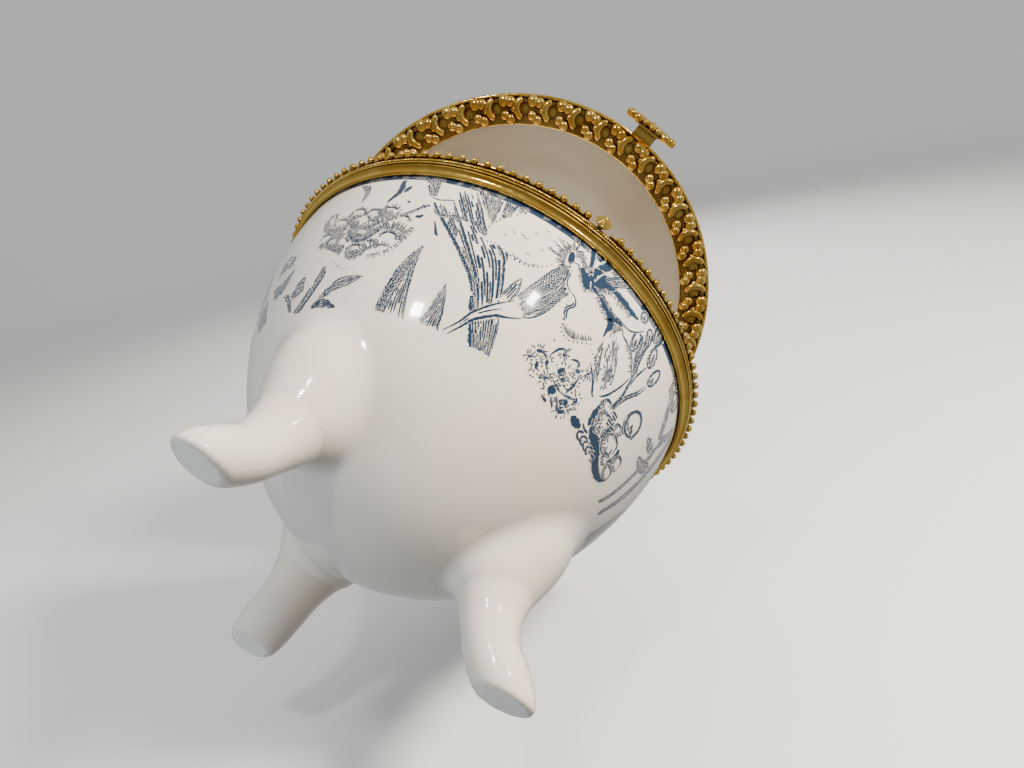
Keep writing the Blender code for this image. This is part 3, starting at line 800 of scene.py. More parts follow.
def draw_roses(p):
    """Carnation heads along the lower edge."""
    p.blot([(-59.6, 17.2, 0.2), (-57.8, 17.7, 0.42), (-55, 17.9, 0.55), (-51.7, 18.5, 0.6),
        (-48.8, 19, 0.5), (-46, 19.2, 0.42), (-43.2, 18.9, 0.32), (-41.3, 18.2, 0.14)])
    p.blot([(-61.8, 15.4, 0.2), (-61.2, 16.6, 0.36), (-59.9, 17.6, 0.28)])
    p.blot([(-54.8, 14.8, 0.2), (-54.2, 16, 0.36), (-54.6, 17.4, 0.4)])
    p.blot([(-47, 15.4, 0.18), (-45.6, 16.4, 0.38), (-46.4, 17.6, 0.3)])
    loops = ((-57.8, 16.2, 1.3, 1.2), (-50.6, 16.5, 1.6, 1.2), (-43.6, 16.4, 1, 0.9),
        (-43.6, 17.9, 1.2, 0.7), (-60.2, 14.8, 0.9, 0.8), (-52.4, 14.8, 0.8, 0.6), (-47.8, 17.6, 0.9, 0.6))
    for azimuth, s, wide, high in loops:
        ring = [(azimuth + wide * (1 + 0.12 * math.sin(5 * t)) * math.cos(t) / DEG_MM,
            s + high * math.sin(t)) for t in np.linspace(0.4, 6.5, 12)]
        p.stroke(ring, 0.28, breaks=1)
        p.comb(ring[:7], high * 0.8, 14, 0.18, side=1)
    for azimuth in (-59.5, -57.6, -55.8, -54, -52.2):
        ring = [(azimuth + 0.75 * math.cos(t) / DEG_MM, 19.0 + 0.45 * math.sin(t))
            for t in np.linspace(0, 6, 9)]
        p.stroke(ring, 0.24, breaks=1)
    p.hatch([(-60.6, 14.4), (-57, 14), (-53.6, 14.2)], [(-60, 16.6), (-56.4, 16.8), (-52, 16)], 8, 0.2,
        ragged=0.35, breaks=4)
    p.blot([(-65.4, 18.4, 0.3), (-64.4, 18.7, 0.42), (-63, 18.7, 0.4), (-61.6, 18.5, 0.18)])
    p.stroke([(-62, 18), (-60, 18.3), (-58, 18)], 0.26)


def draw_florets(p):
    """Loose cluster of small florets, cut off along its lower edge."""
    petals = ((-83.1, 16.4, 0.42, 0.24), (-84.3, 17.5, 0.3, 0.12), (-81.7, 17.7, 0.24, 0.42),
        (-80, 16.8, 0.22, 0.36), (-77.9, 18.1, 0.22, 0.36), (-75.6, 16.4, 0.62, 0.5),
        (-74.2, 16.9, 0.4, 0.3), (-72.6, 15, 0.36, 0.26), (-71.2, 16.4, 0.36, 0.5),
        (-74.6, 18.5, 0.62, 0.55), (-69.8, 18.5, 0.8, 0.5), (-69.2, 19.2, 0.6, 0.4),
        (-67.8, 17.4, 0.3, 0.5), (-77.8, 14.8, 0.24, 0.3), (-70, 14.3, 0.2, 0.12))
    for azimuth, s, wide, high in petals:
        reach = wide / DEG_MM
        p.blot([(azimuth - reach, s + 0.1, 0.05), (azimuth, s, high), (azimuth + reach, s - 0.1, 0.06)])
        star = [(azimuth + wide * 1.5 * math.cos(t) / DEG_MM, s + high * 1.6 * math.sin(t))
            for t in np.linspace(0, 6.2, 8)]
        p.comb(star, 0.55, 9, 0.13, side=-1)
    lines = (((-80.6, 16), (-79.6, 14.8), (-78.2, 14.4), (-77, 15)), ((-75.8, 14.7), (-74.4, 14.3),
        (-73.2, 14.5), (-72.8, 15.6)), ((-79.4, 18.6), (-77.8, 18), (-76.2, 17.4)), ((-76.2, 17.6),
        (-74, 17.9), (-71.8, 18)), ((-72.1, 18), (-69.7, 17.6), (-68, 17.2)), ((-73.8, 19), (-72.4, 19.4),
        (-71.3, 19.8)), ((-72.6, 18.5), (-70.8, 19.2), (-69.6, 19.7)), ((-71.2, 15.2), (-71, 16.6),
        (-71.4, 17.6)), ((-76, 19.6), (-74.6, 19.7), (-73.6, 19.8)), ((-82.6, 15.9), (-81.6, 16.4),
        (-80.6, 16.2)))
    for knots in lines:
        p.stroke(knots, 0.24)
    for k in range(26):
        azimuth, s = -82 + 14 * ((k * 0.618) % 1), 14.4 + 5 * ((k * 0.377) % 1)
        p.stroke([(azimuth, s), (azimuth + 0.4, s + 0.15)], 0.13, start=0.8)


def draw_peony(p):
    """Ruffled flower head with its stem and leaves."""
    arcs = (((-151.6, 9.4, 0.1), (-149.8, 10.5, 0.22), (-146.1, 10.95, 0.15), (-142.6, 10.8, 0.1)),
        ((-144.1, 8.8, 0.1), (-142.5, 10, 0.22), (-139.9, 10.8, 0.3), (-136.3, 10.9, 0.22),
        (-132.4, 9.9, 0.1)), ((-141.8, 11.2, 0.15), (-139.9, 12, 0.4), (-137.4, 12.5, 0.5),
        (-134.8, 12, 0.4), (-132.7, 11.1, 0.28), (-130.8, 10.3, 0.1)), ((-149.8, 12.8, 0.08),
        (-146.1, 13.2, 0.2), (-143.6, 13.6, 0.3), (-141, 14.2, 0.15)), ((-139.6, 14.1, 0.08),
        (-138.2, 14.8, 0.16), (-136, 14.8, 0.14), (-134.3, 14.1, 0.2), (-131, 12.9, 0.1)),
        ((-131.4, 11, 0.08), (-128.2, 10.8, 0.12), (-126, 11.3, 0.1), (-126.6, 12.2, 0.06)),
        ((-147, 11.5, 0.1), (-145, 11.8, 0.2), (-143, 12.4, 0.1)), ((-135.2, 10.2, 0.1),
        (-134.2, 9.2, 0.16), (-132.4, 9.2, 0.12), (-131.2, 10, 0.08)))
    for arc in arcs:
        p.blot(arc)
        line = [knot[:2] for knot in arc]
        p.comb(line, 0.9, 34, 0.17, side=-1)
        p.comb(line, 0.5, 18, 0.16, side=1)
    loops = ((-139.6, 9.9, 1.3, 0.75), (-136.4, 9, 1.2, 0.7), (-141.4, 8.6, 0.9, 0.6),
        (-132.4, 8.6, 1.1, 0.7), (-145.6, 9.9, 1, 0.6), (-148.2, 11.8, 0.9, 0.6), (-145.6, 12.5, 0.9, 0.5),
        (-137.2, 11.6, 1.1, 0.45), (-129.4, 12, 1, 0.6), (-137.2, 13.8, 1, 0.55), (-133.4, 13.2, 0.9, 0.5),
        (-142.2, 12.7, 0.8, 0.45), (-128, 9.5, 0.8, 0.5), (-150, 9, 0.6, 0.8), (-129.6, 13.6, 0.8, 0.5))
    for azimuth, s, wide, high in loops:
        ring = [(azimuth + wide * (1 + 0.08 * math.sin(4 * t)) * math.cos(t) / DEG_MM,
            s - high * math.sin(t)) for t in np.linspace(-0.3, 3.5, 8)]
        p.stroke(ring, 0.26, breaks=1)
        p.comb(ring, high * 0.8, 14, 0.14, side=1)
    p.comb([(-133, 14.6), (-128.6, 13.8), (-125.4, 12), (-125, 10.2)], 0.6, 24, 0.09, side=1)
    p.stroke([(-143.4, 15), (-141, 15.8), (-138, 16.4), (-136, 16.2)], 0.1, dash=1)
    for k in range(14):
        azimuth, s = -129.5 + 5.5 * ((k * 0.618) % 1), 7.0 + 2.2 * ((k * 0.383) % 1)
        p.stroke([(azimuth, s), (azimuth + 0.6, s - 0.15), (azimuth + 0.9, s + 0.2)], 0.16)
    stem_left = [(-145.2, 15.7), (-146.2, 17), (-148.4, 18.7), (-151.2, 20.3), (-153, 21)]
    stem_right = [(-143.4, 15.8), (-144.2, 17.4), (-146.4, 19.2), (-149, 20.6), (-150.4, 21.1)]
    p.hatch(stem_left, stem_right, 4, 0.3, ragged=0.03)
    p.hatch([(-131.2, 17.2), (-134.8, 17.2), (-138.6, 17.6), (-141.8, 18.9), (-143.8, 20)], [(-131.2, 17.2),
        (-134.6, 18.2), (-138, 18.8), (-141, 19.6), (-143.6, 20.1)], 6, 0.18, breaks=2)
    p.blot([(-133.4, 17.4, 0.1), (-136.4, 17.9, 0.34), (-138.2, 18.2, 0.2)])
    p.hatch([(-136.6, 20.9), (-139.8, 20.2), (-142.6, 20), (-146.6, 20.8)], [(-136.6, 20.9), (-139.4, 20.9),
        (-142.4, 20.8), (-146.6, 20.9)], 4, 0.28)
    p.hatch([(-150.8, 16.4), (-153.6, 17.2), (-155.6, 18.8)], [(-149.8, 18.2), (-152.2, 18.8),
        (-154.6, 19.2)], 7, 0.2)
    p.hatch([(-159.3, 18), (-156, 18.6), (-153.6, 20.8)], [(-159.2, 18.3), (-156.8, 19.4), (-154.6, 20.9)],
        4, 0.18)
    p.hatch([(-157.4, 14.8), (-161.6, 15.8), (-167.6, 16)], [(-157.6, 15.4), (-161.4, 17.4),
        (-166.2, 17.6)], 7, 0.3)
    p.hatch([(-159, 13), (-163, 12), (-167, 12.6)], [(-158.6, 14.4), (-163, 14), (-167, 14.4)], 6, 0.16,
        breaks=2)
    p.hatch([(-146.9, 3.4), (-143.6, 5), (-142.4, 7)], [(-144, 3.2), (-142.2, 5), (-142.2, 7)], 5, 0.2)
    p.blot([(-133.8, 3.4, 0.2), (-133, 5.4, 0.3), (-134.6, 7.2, 0.1)])
    p.blot([(-131.8, 5.5, 0.1), (-131.2, 4.9, 0.26), (-130.8, 4.4, 0.1)])


def draw_right_plant(p):
    """Tall plant at the right-hand side of the front."""
    p.hatch([(-47.6, 3.2), (-45, 3.6), (-43.4, 5.2)], [(-46.6, 4.8), (-44.6, 4.9), (-43, 5.4)], 5, 0.3)
    p.bud(-40.6, 3.9, 1.3, 1.1, dark=0.9, width=0.3)
    p.bud(-45.2, 3.4, 0.8, 0.8, dark=0.7)
    p.hatch([(-43.8, 5), (-40.2, 7.2), (-36.2, 8.6)], [(-41.2, 5), (-38, 6.4), (-35, 8.2)], 7, 0.2)
    p.hatch([(-36.6, 8.2), (-33.6, 6), (-31.4, 3.4)], [(-34.6, 9.4), (-31.8, 7), (-29.4, 4)], 7, 0.26)
    p.hatch([(-41.6, 10.6), (-38.5, 9.7), (-35.2, 9.8)], [(-41.4, 10.8), (-38.3, 11), (-35.4, 10.6)], 6, 0.22)
    p.hatch([(-38.8, 12.6), (-35.4, 11.6), (-29.6, 10)], [(-38.4, 12.9), (-34.6, 12.9), (-28.2, 11.6)],
        7, 0.24)
    p.hatch([(-35.4, 8.8), (-34.6, 13), (-34.6, 17), (-35.8, 19.6)], [(-33, 8.8), (-33, 13), (-33.2, 17),
        (-34.4, 19.6)], 5, 0.2, ragged=0.03)
    p.hatch([(-29.6, 4), (-29.4, 9), (-28.8, 15), (-30.6, 19.7)], [(-26.6, 4), (-26.4, 9), (-26.6, 15),
        (-28.6, 19.7)], 7, 0.22, ragged=0.03)


def draw_garden(seed):
    """Whole printed scene, front to back."""
    p = Pattern(seed)
    draw_iris(p)
    draw_spathe(p)
    draw_ribbons(p)
    draw_lone_leaves(p)
    draw_buds(p)
    draw_roses(p)
    draw_florets(p)
    draw_peony(p)
    draw_right_plant(p)
    return p.strokes


def draw_fill(seed):
    """Leaves that fill the gap between two repeats of the scene."""
    p = Pattern(seed)
    draw_ribbons(p)
    draw_lone_leaves(p)
    return p.strokes


def profile_table(r, z):
    """Arc length, radius and height along a profile."""
    s = np.concatenate([[0], np.cumsum(np.hypot(np.diff(r), np.diff(z)))])
    return s, r, z


def on_surface(table, x, y):
    """Points and normals for flat millimetre coordinates on a turned surface."""
    s, r, z = table
    radius, height = np.interp(y, s, r), np.interp(y, s, z)
    slope_r, slope_z = np.interp(y, s, np.gradient(r, s)), np.interp(y, s, np.gradient(z, s))
    sign = np.sign(slope_z.mean())
    angle = np.radians(x / DEG_MM + FRONT)
    out_r, out_z = sign * slope_z, -sign * slope_r
    points = np.stack([radius * np.cos(angle), radius * np.sin(angle), height], -1)
    normals = np.stack([out_r * np.cos(angle), out_r * np.sin(angle), out_z], -1)
    return points, normals / np.linalg.norm(normals, axis=-1)[..., None]


def ink_strips(strokes, table, turn, flip=None):
    """Three-column strips following the surface, with an edge mark for the shader."""
    points, normals, edge, faces, start = [], [], [], [], 0
    radius_scale = table[1][0]
    for path, halves in strokes:
        y = path[:, 1] if flip is None else flip - path[:, 1]
        x = path[:, 0] + turn * DEG_MM
        shrink = np.interp(y, table[0], table[1]) / radius_scale
        slope = np.stack([np.gradient(path[:, 0]) * shrink, np.gradient(y)], 1)
        slope /= np.maximum(np.linalg.norm(slope, axis=1), 1e-6)[:, None]
        halves = halves * INK_SPREAD + 0.03
        for side in (-1, 0, 1):
            xs = x - side * halves * slope[:, 1] / shrink
            ys = y + side * halves * slope[:, 0]
            spot, out = on_surface(table, xs, ys)
            points.append(spot)
            normals.append(out)
            edge.append(np.full(len(path), abs(side)))
        n = len(path)
        for column in (0, 1):
            a = start + column * n + np.arange(n - 1)
            faces.append(np.stack([a, a + n, a + n + 1, a + 1], 1))
        start += 3 * n
    return np.concatenate(points), np.concatenate(normals), np.concatenate(edge), np.concatenate(faces)


INK_LIFT = 0.012           # millimetres above the glaze
LID_PRINT_TOP = 22.6        # lid print runs upside down from this distance to the lid edge
LEG_ZONE = 6                # print nearer than this to a leg is settled on the real skin
INK_SPREAD = 1.45


def face_out(points, normals, faces):
    """Turn each face so that it looks along its normals."""
    a, b, c = (points[faces[:, k]] for k in range(3))
    wrong = np.einsum("ij,ij->i", np.cross(b - a, c - a), normals[faces[:, 0]]) < 0
    faces[wrong] = faces[wrong][:, ::-1]
    return faces


def make_bowl_print(material):
    t = np.linspace(0, 1.2, 500)
    radius = BOWL_A * np.cos(t) ** BOWL_POWERS[0]
    height = -BOWL_DROP - BOWL_B * np.sin(t) ** BOWL_POWERS[1]
    table = profile_table(radius, height)
    garden, fill = draw_garden(3), draw_fill(8)
    prints = (("print_front", garden, 0), ("print_back", garden, 178), ("print_left", fill, -76),
              ("print_right", fill, 104))
    for name, strokes, turn in prints:
        points, normals, edge, faces = ink_strips(strokes, table, turn)
        near = np.flatnonzero(leg_distance(points) < LEG_ZONE)
        if len(near):
            points[near], normals[near] = settle(bowl_skin, points[near], rounds=2)
        faces = face_out(points, normals, faces)
        add_piece(name, points + normals * INK_LIFT, faces, material, "base", "bowl_porcelain",
                  normals=normals, marks={"edge": edge})


def make_lid_print(material):
    t = np.linspace(0, 1.45, 500)
    table = profile_table(LID_A * np.cos(t), LID_BASE + LID_B * np.sin(t))
    garden, fill = draw_garden(5), draw_fill(9)
    prints = (("print_lid_front", garden, 8), ("print_lid_back", garden, 186),
              ("print_lid_left", fill, -68), ("print_lid_right", fill, 112))
    for name, strokes, turn in prints:
        points, normals, edge, faces = ink_strips(strokes, table, turn, flip=LID_PRINT_TOP)
        faces = face_out(points, normals, faces)
        add_piece(name, points + normals * INK_LIFT, faces, material, "lid", "lid_porcelain",
                  normals=normals, marks={"edge": edge})


# ---- metal mounts -----------------------------------------------------------
def wire_ring(radius, z, wire, start, end, steps, twist=0.0, depth=0.0, sides=12):
    """Wire along an arc of bearings; twist is the number of rope turns in the arc."""
    share = np.linspace(0, 1, steps)
    angles = np.radians(90 - (start + (end - start) * share))
    around = np.arange(sides) * math.tau / sides
    lay = around[None, :] + share[:, None] * twist * math.tau
    thick = wire * (1 - depth + depth * np.abs(np.cos(lay)))
    r = radius + thick * np.cos(around)[None, :]
    points = np.stack([r * np.cos(angles)[:, None], r * np.sin(angles)[:, None],
                       z + thick * np.sin(around)[None, :]], -1).reshape(-1, 3)
    faces = grid_faces(steps, sides, close_columns=True)
    faces.append(tuple(range(sides))[::-1])
    faces.append(tuple((steps - 1) * sides + j for j in range(sides)))
    return points, faces


def milled_ring(radius, z, wire, ticks, depth):
    """Closed ridge crossed by fine milling."""
    steps, sides = ticks * 4, 8
    angles = np.arange(steps) * math.tau / steps
    around = np.arange(sides) * math.tau / sides
    thick = wire * (1 - depth * (0.5 + 0.5 * np.cos(angles * ticks)))[:, None]
    r = radius + thick * np.cos(around)
    height = z + thick * np.sin(around)
    points = np.stack([r * np.cos(angles)[:, None], r * np.sin(angles)[:, None], height], -1)
    faces = grid_faces(steps, sides, close_rows=True, close_columns=True)
    return points.reshape(-1, 3), faces


def make_base_mount(gilt, bead_gilt):
    top = -0.15
    lip, foot = 28.65, 27.98
    cove = [(foot + (lip - foot) * (1 - math.sin(t)), -2.1 - 0.7 * (1 - math.cos(t)))
            for t in np.linspace(0.0, math.pi / 2, 9)]
    section = [(MOUTH_RADIUS, top - 0.1), (MOUTH_RADIUS + 0.1, top), (28.1, top), (28.25, top - 0.12),
               (28.25, -0.98), (28.42, -1.0), (28.42, -1.4), (28.66, -1.44), (28.74, -1.6), (28.66, -1.76),
               (28.4, -1.8), (28.4, -1.84), (28.6, -1.9)] + cove
    section += [(28.1, -2.83), (28.12, -2.92), (28.0, -2.98), (27.72, -2.95), (27.76, -0.6),
                (MOUTH_RADIUS + 0.3, -0.6), (MOUTH_RADIUS + 0.3, -2.35), (MOUTH_RADIUS + 0.15, -2.4),
                (MOUTH_RADIUS, -2.3)]
    add_piece("base_collar_fine", *lathe(section, 220), gilt, "base", "mount_gilt",
              replaced=("base_collar",), sharp=40)
    ticks = 540
    add_piece("milled_wire", *milled_ring(28.62, -1.2, 0.25, ticks, 0.4), bead_gilt, "base", "bead_gilt",
              replaced=("rope_wire",))
    knob_bearing = 180 - KNOB_TURN
    unit = ball(8, 12)
    for side in ("left", "right"):
        shapes = []
        for i in range(PEARLS):
            bearing = 360 * (i + 0.5) / PEARLS
            if (bearing > knob_bearing) != (side == "left"):
                continue
            if min(bearing, 360 - bearing) < HINGE_GAP or abs(bearing - knob_bearing) < KNOB_GAP + 0.9:
                continue
            wobble = 1 + 0.04 * math.sin(i * 2.4)
            shapes.append((unit[0] * 0.45 * wobble + polar(PEARL_RING, bearing, -0.57), unit[1]))
        knob_end = KNOB_GAP + 0.3
        if side == "right":
            ends = (HINGE_GAP, knob_bearing - knob_end)
        else:
            ends = (360 - HINGE_GAP, knob_bearing + knob_end)
        core = wire_ring(28.7, -0.57, 0.24, *ends, 140, sides=8)
        shapes.append(core if side == "right" else (core[0], [f[::-1] for f in core[1]]))
        add_piece(f"pearls_{side}", *joined(shapes), bead_gilt, "base", "bead_gilt",
                  replaced=(f"pearl_wire_{side}",))


def make_knob(gilt):
    """Catch knob with concentric ridges."""
    length, head = 1.24, 0.97
    profile = [(0.001, length)]
    for i in range(26):
        t = i / 25
        ridge = 0.03 * math.cos(t * math.tau * 4.5) - 0.03
        profile.append((0.10 + (head - 0.12) * t, length - 0.45 * t ** 2.2 + ridge))
    profile += [(head, 0.68), (head - 0.1, 0.6), (0.42, 0.56), (0.42, 0.0), (0.001, 0.0)]
    points, faces = lathe(profile, 40, closed=False)
    knob_low, knob_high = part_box("catch_knob")
    face_y = knob_high.y / MM - CENTRE_Y
    spot = np.array(((knob_low.x + knob_high.x) / 2 / MM, face_y, -0.5))
    turned = np.stack([points[:, 0], -points[:, 2], points[:, 1]], -1) + spot
    add_piece("catch_knob_fine", turned, faces, gilt, "base", "clasp_gilt",
              replaced=("catch_knob",), sharp=45)


def make_lid_mount(gilt, lace_gilt, bead_gilt):
    low = 1.15
    cove = [(28.62 - 0.4 * math.sin(t), low + 0.65 + 1.4 * t / (math.pi / 2))
            for t in np.linspace(math.pi / 2, 0, 9)]
    section = [(27.75, 3.3), (27.9, 3.42), (28.15, 3.35)] + cove
    section += [(28.55, low + 0.35), (28.4, low + 0.05), (28.2, low), (MOUTH_RADIUS + 0.12, low),
                (MOUTH_RADIUS, low + 0.12), (MOUTH_RADIUS, 2.0), (MOUTH_RADIUS + 0.15, 2.1),
                (MOUTH_RADIUS + 0.3, 2.0), (MOUTH_RADIUS + 0.3, low + 0.32), (27.75, low + 0.32)]
    add_piece("lid_collar_fine", *lathe(section, 220), gilt, "lid", "mount_gilt",
              replaced=("lid_collar",), sharp=40)
    edge = wire_ring(28.62, 0.86, 0.28, 11.3, 348.7, 700)
    add_piece("lid_edge_fine", *edge, bead_gilt, "lid", "bead_gilt", replaced=("lid_edge_wire",))
    make_lace(lace_gilt)


def make_lace(lace_gilt):
    """42 cast motifs: window, crescent arch, double outer and inner beads."""
    unit = ball(8, 12)
    shapes = []
    pitch = 360 / MOTIFS
    floor = 0.62

    def spot(r, turn, z):
        return polar(r, 180 - turn, z)

    def bead(r, turn, radius):
        half_height = min(radius * 0.85, 0.6)
        shapes.append((unit[0] * (radius, radius, half_height) + spot(r, turn, half_height + 0.02), unit[1]))

    for i in range(MOTIFS):
        hole = LACE_TURN + pitch * i
        bead(27.85, hole + 2.5, 0.92)
        bead(27.7, hole + 4.5, 0.84)
        bead(25.95, hole + 2.6, 0.76)
        bead(25.45, hole + 4.4, 0.76)
        bead(26.7, hole + 5.5, 0.56)
        arch, radii = [], []
        for k in range(13):
            t = math.radians(-80 + 160 * k / 12)
            arch.append(spot(26.85 + 1.25 * math.sin(t), hole - 0.2 - 2.2 * math.cos(t), floor - 0.15))
            radii.append(0.58 * (1 - 0.3 * abs(k / 6 - 1) ** 2))
        shapes.append(tube(arch, radii, 10))
    lace = joined(shapes)
    add_piece("lace_beads", *lace, lace_gilt, "lid", "lace_gilt")
    # The window plate gets a darker copy of the gilt: painted shade for the recess under the lace beads.
    painted_shade_plate_gilt = gilt_material("gilt_recess_painted_shade", (0.72, 0.44, 0.12), (0.42, 0.23, 0.05), 0.18)
    make_lace_plate(painted_shade_plate_gilt, pitch, floor)


def make_lace_plate(lace_gilt, pitch, floor):
    """Band with one oval window per motif, rounded at the window's edge."""
    columns, inner, outer, hole_r = 24, MOUTH_RADIUS + 0.2, 28.2, 0.95
    levels = (floor + 0.25, floor + 0.02)
    shapes = []
    for i in range(MOTIFS):
        hole = 180 - LACE_TURN - pitch * i
        ring, frame_ring = [], []
        for k in range(columns):
            t = math.tau * k / columns
            dx, dr = math.sin(t), math.cos(t)
            reach_r = (outer - 26.75) if dr > 0 else (26.75 - inner)
            scale = 1 / max(abs(dx) , abs(dr), 1e-6)
            frame_ring.append((26.75 + dr * scale * reach_r, hole + dx * scale * pitch / 2))
            ring.append((26.75 + dr * hole_r, hole + 0.25 + math.degrees(dx * hole_r * 0.95 / 26.75)))
        loops = ((frame_ring, levels[0]), (frame_ring, levels[1]), (ring, levels[1]), (ring, levels[0]))
        points = [polar(r, b, level) for loop, level in loops for r, b in loop]
        n = columns
        faces = []
        for k in range(n):
            j = (k + 1) % n
            faces.append((n + k, n + j, 2 * n + j, 2 * n + k))
            faces.append((2 * n + k, 2 * n + j, 3 * n + j, 3 * n + k))
            faces.append((3 * n + k, 3 * n + j, j, k))
        shapes.append((np.array(points), faces))
    plate_points, plate_faces = joined(shapes)
    # lace_gilt here is the darker gilt copy, whose colour is painted shade.
    add_piece("lace_plate", plate_points, plate_faces, lace_gilt, "lid", "lace_gilt",
              replaced=("lid_lace",), sharp=40)


def make_clasp(gilt):
    """Cast bow of the clasp: a flower between two pairs of thick leaves."""
    unit = ball(10, 14)
    shapes = []
    middle = np.array((CLASP_X, -30.9, 0.7))

    def lobe(x, z, rx, ry, rz, turn=0.0, forward=0.0):
        c, s = math.cos(turn), math.sin(turn)
        p = unit[0] * np.array((rx, ry * 1.6, rz))
        p = np.stack([p[:, 0] * c - p[:, 2] * s, p[:, 1], p[:, 0] * s + p[:, 2] * c], -1)
        shapes.append((p + middle + np.array((x, -forward, z)), unit[1]))

    for k in range(6):
        angle = math.tau * (k + 0.5) / 6
        lobe(1.05 * math.cos(angle), 0.95 * math.sin(angle), 0.78, 0.46, 0.58, turn=angle)
    lobe(0, 0, 0.55, 0.5, 0.5, forward=0.12)
    for side in (-1, 1):
        lobe(side * 2.35, 0.62, 1.15, 0.42, 0.62, turn=side * 0.35)
        lobe(side * 2.2, -0.68, 1.0, 0.40, 0.56, turn=-side * 0.45)
        lobe(side * 3.45, 0.55, 0.66, 0.42, 0.66)
        lobe(side * 3.3, -0.6, 0.56, 0.38, 0.5)
        lobe(side * 3.85, 0.0, 0.36, 0.36, 0.45)
        lobe(side * 1.6, 0.0, 0.5, 0.44, 0.45)
    add_piece("clasp_flower", *joined(shapes), gilt, "lid", "clasp_gilt", replaced=("clasp_bow",))


def dress_cad_nodes(materials):
    """Better finish for the CAD pieces that stay."""
    for node, material in materials.items():
        obj = frame["nodes"][node]
        obj.data.materials.clear()
        obj.data.materials.append(material)


# ---- stage, lights, camera --------------------------------------------------
CAMERA_PLACE = Vector((-7.195, -86.743 + CENTRE_Y, -31.906)) * MM
CAMERA_AHEAD = Vector((0.1152, 0.7640, 0.6349)).normalized()
CAMERA_UP = Vector((-0.5870, -0.4632, 0.6639))
LENS = 29.88
TABLE_NORMAL = Vector((-0.743, -0.572, 0.347)).normalized()
LID_OUTLINE = 29.5
TABLE_POINT = Vector((23.4, 18.13 + CENTRE_Y, 41.5)) * MM


def stage_material(name, centre, fade_start, fade_end):
    """Pale paper seen from its front only, fading out far from the object."""
    nodes = Nodes(name)
    nodes.put(nodes.shader, "Base Color", nodes.mix(nodes.noise(9.0), (0.71, 0.70, 0.68), (0.73, 0.72, 0.70)))
    nodes.shader.inputs["Roughness"].default_value = 0.9
    clear = nodes.add("ShaderNodeBsdfTransparent")
    back = nodes.add("ShaderNodeNewGeometry").outputs["Backfacing"]
    away = nodes.add("ShaderNodeVectorMath", {0: nodes.coords(), 1: tuple(centre)}, operation="DISTANCE")
    faded = nodes.ramp(away.outputs["Value"], fade_start, fade_end)
    gone = nodes.math("MAXIMUM", back, faded)
    blend = nodes.add("ShaderNodeMixShader", {0: gone, 1: nodes.shader.outputs[0], 2: clear.outputs[0]})
    nodes.tree.links.new(blend.outputs[0], nodes.tree.nodes["Material Output"].inputs["Surface"])
    return nodes.material


def stage_plane(name, point, normal, half, fade):
    side = normal.orthogonal().normalized()
    other = normal.cross(side)
    corners = [point + side * half * a + other * half * b for a, b in ((-1, -1), (1, -1), (1, 1), (-1, 1))]
    mesh = bpy.data.meshes.new(name)
    mesh.from_pydata(corners, [], [(0, 1, 2, 3)])
    mesh.materials.append(stage_material(name, point, *fade))
    plane = bpy.data.objects.new(name, mesh)
    bpy.context.scene.collection.objects.link(plane)
    plane.visible_shadow = False
    plane.visible_glossy = False
    plane.visible_diffuse = False
    return plane


def area_light(name, place, aim, size, power, colour=(1, 1, 1), mirrored=True):
    light = bpy.data.lights.new(name, "AREA")
    light.shape = "RECTANGLE"
    light.size, light.size_y = size
    light.energy = power
    light.color = colour
    obj = bpy.data.objects.new(name, light)
    obj.location = place
    obj.rotation_mode = "QUATERNION"
    obj.rotation_quaternion = (Vector(aim) - Vector(place)).to_track_quat("-Z", "Y")
    obj.visible_glossy = mirrored
    bpy.context.scene.collection.objects.link(obj)
    return obj


def camera_spot(right, up, ahead):
    """Place given in millimetres from the camera, along its own axes."""
    side = CAMERA_AHEAD.cross(CAMERA_UP).normalized()
    top = side.cross(CAMERA_AHEAD)
    return CAMERA_PLACE + (side * right + top * up + CAMERA_AHEAD * ahead) * MM


def lying_point():
    """Point of the lying surface, set back until the fully opened lid clears it."""
    swing = OPENING + math.radians(frame["joints"][0]["range_deg"][1])
    opened = lid_matrix(swing)
    depths = []
    for tilt in range(0, 91, 5):
        for turn in range(0, 360, 10):
            up, around = math.radians(tilt), math.radians(turn)
            across = LID_OUTLINE * math.cos(up)
            height = LID_BASE + LID_B * math.sin(up)
            spot = Vector((across * math.cos(around), across * math.sin(around), height))
            depths.append((opened @ spot) @ TABLE_NORMAL)
    return TABLE_POINT + TABLE_NORMAL * ((min(depths) - 1) * MM - TABLE_POINT @ TABLE_NORMAL)


def make_stage():
    stage_plane("floor", Vector((0, 0, 0)), Vector((0, 0, 1)), 0.9, (0.16, 0.5))
    stage_plane("lying_surface", lying_point(), TABLE_NORMAL, 0.9, (0.22, 0.62))
    world = bpy.context.scene.world or bpy.data.worlds.new("studio")
    bpy.context.scene.world = world
    world.use_nodes = True
    light_world(world.node_tree)
    middle = Vector((0, 0, 38)) * MM
    area_light("key_softbox", camera_spot(150, 170, -30), middle, (0.06, 0.06), 2.1, (1.0, 0.93, 0.82), False)
    area_light("fill_softbox", camera_spot(-190, -60, 10), middle, (0.12, 0.12), 0.35,
               (0.72, 0.86, 1.0), False)
    area_light("top_softbox", (-0.10, 0.02, 0.34), middle, (0.2, 0.2), 0.8, (1.0, 0.97, 0.93), False)
    area_light("lamp_side", camera_spot(110, 120, -40), middle, (0.012, 0.02), 0.1, (1.0, 0.95, 0.88))
    area_light("lamp_high", camera_spot(-60, 110, -40), middle, (0.016, 0.016), 0.12, (1.0, 0.97, 0.92))


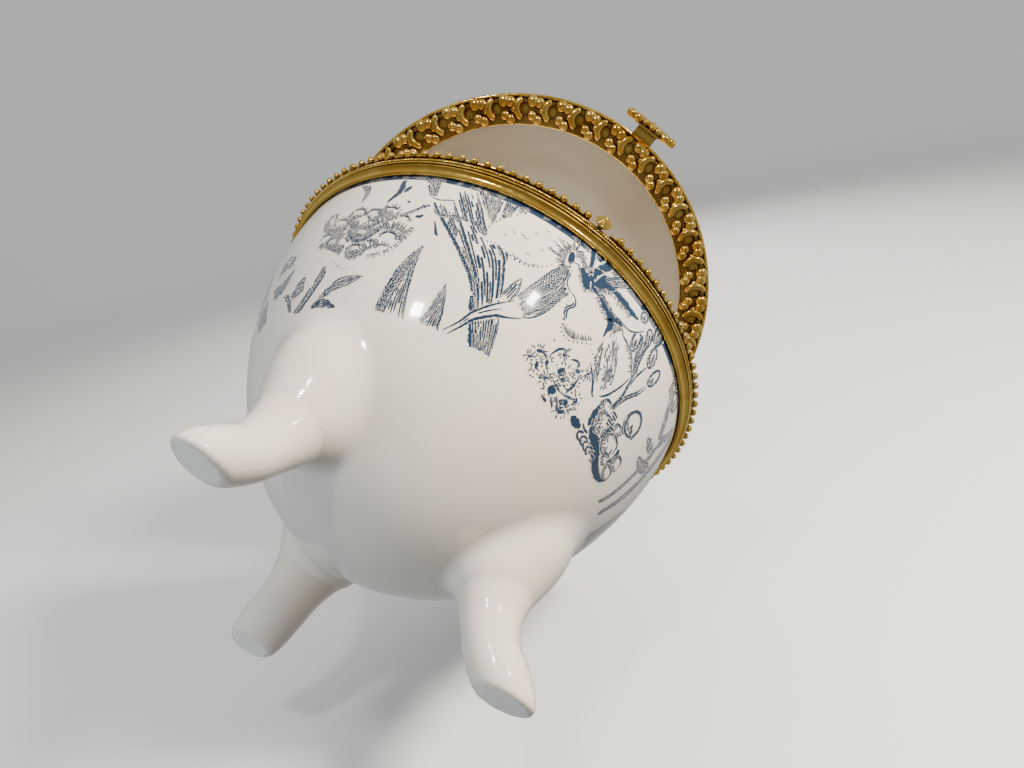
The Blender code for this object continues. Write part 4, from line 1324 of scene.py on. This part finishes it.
def light_world(tree):
    """Plain pale room, a little darker towards the ground."""
    direction = tree.nodes.new("ShaderNodeTexCoord").outputs["Generated"]
    height = tree.nodes.new("ShaderNodeSeparateXYZ")
    tree.links.new(direction, height.inputs[0])
    grade = tree.nodes.new("ShaderNodeMapRange")
    grade.inputs[1].default_value = -0.9
    grade.inputs[2].default_value = 0.5
    tree.links.new(height.outputs["Z"], grade.inputs[0])
    blend = tree.nodes.new("ShaderNodeMix")
    blend.data_type = "RGBA"
    blend.inputs[6].default_value = (0.22, 0.21, 0.20, 1)
    blend.inputs[7].default_value = (0.66, 0.66, 0.65, 1)
    tree.links.new(grade.outputs[0], blend.inputs[0])
    background = tree.nodes["Background"]
    background.inputs[1].default_value = 0.8
    tree.links.new(blend.outputs[2], background.inputs[0])


def make_camera():
    data = bpy.data.cameras.new("camera")
    data.lens = LENS
    data.sensor_width = 36
    data.clip_start = 0.005
    camera = bpy.data.objects.new("camera", data)
    side = CAMERA_AHEAD.cross(CAMERA_UP).normalized()
    top = side.cross(CAMERA_AHEAD)
    turn = Matrix((side, top, -CAMERA_AHEAD)).transposed().to_4x4()
    camera.matrix_world = Matrix.Translation(CAMERA_PLACE) @ turn
    bpy.context.scene.collection.objects.link(camera)
    bpy.context.scene.camera = camera


# ---- build ------------------------------------------------------------------
make_camera()
make_stage()
gilt = gilt_material("gilt", (1.0, 0.70, 0.16), (0.86, 0.50, 0.08), 0.10)
bead_gilt = gilt_material("gilt_beads", (1.0, 0.71, 0.18), (0.88, 0.53, 0.10), 0.10)
lace_gilt = gilt_material("gilt_lace", (1.0, 0.68, 0.17), (0.84, 0.48, 0.09), 0.12)
make_bowl()
make_lid()
ink = print_material()
make_bowl_print(ink)
make_lid_print(ink)
make_base_mount(gilt, bead_gilt)
make_knob(gilt)
make_lid_mount(gilt, lace_gilt, bead_gilt)
make_clasp(gilt)
dress_cad_nodes({"base_hinge_leaf": gilt, "lid_hinge_leaf": gilt, "hinge_pin": gilt, "clasp_tongue": gilt})
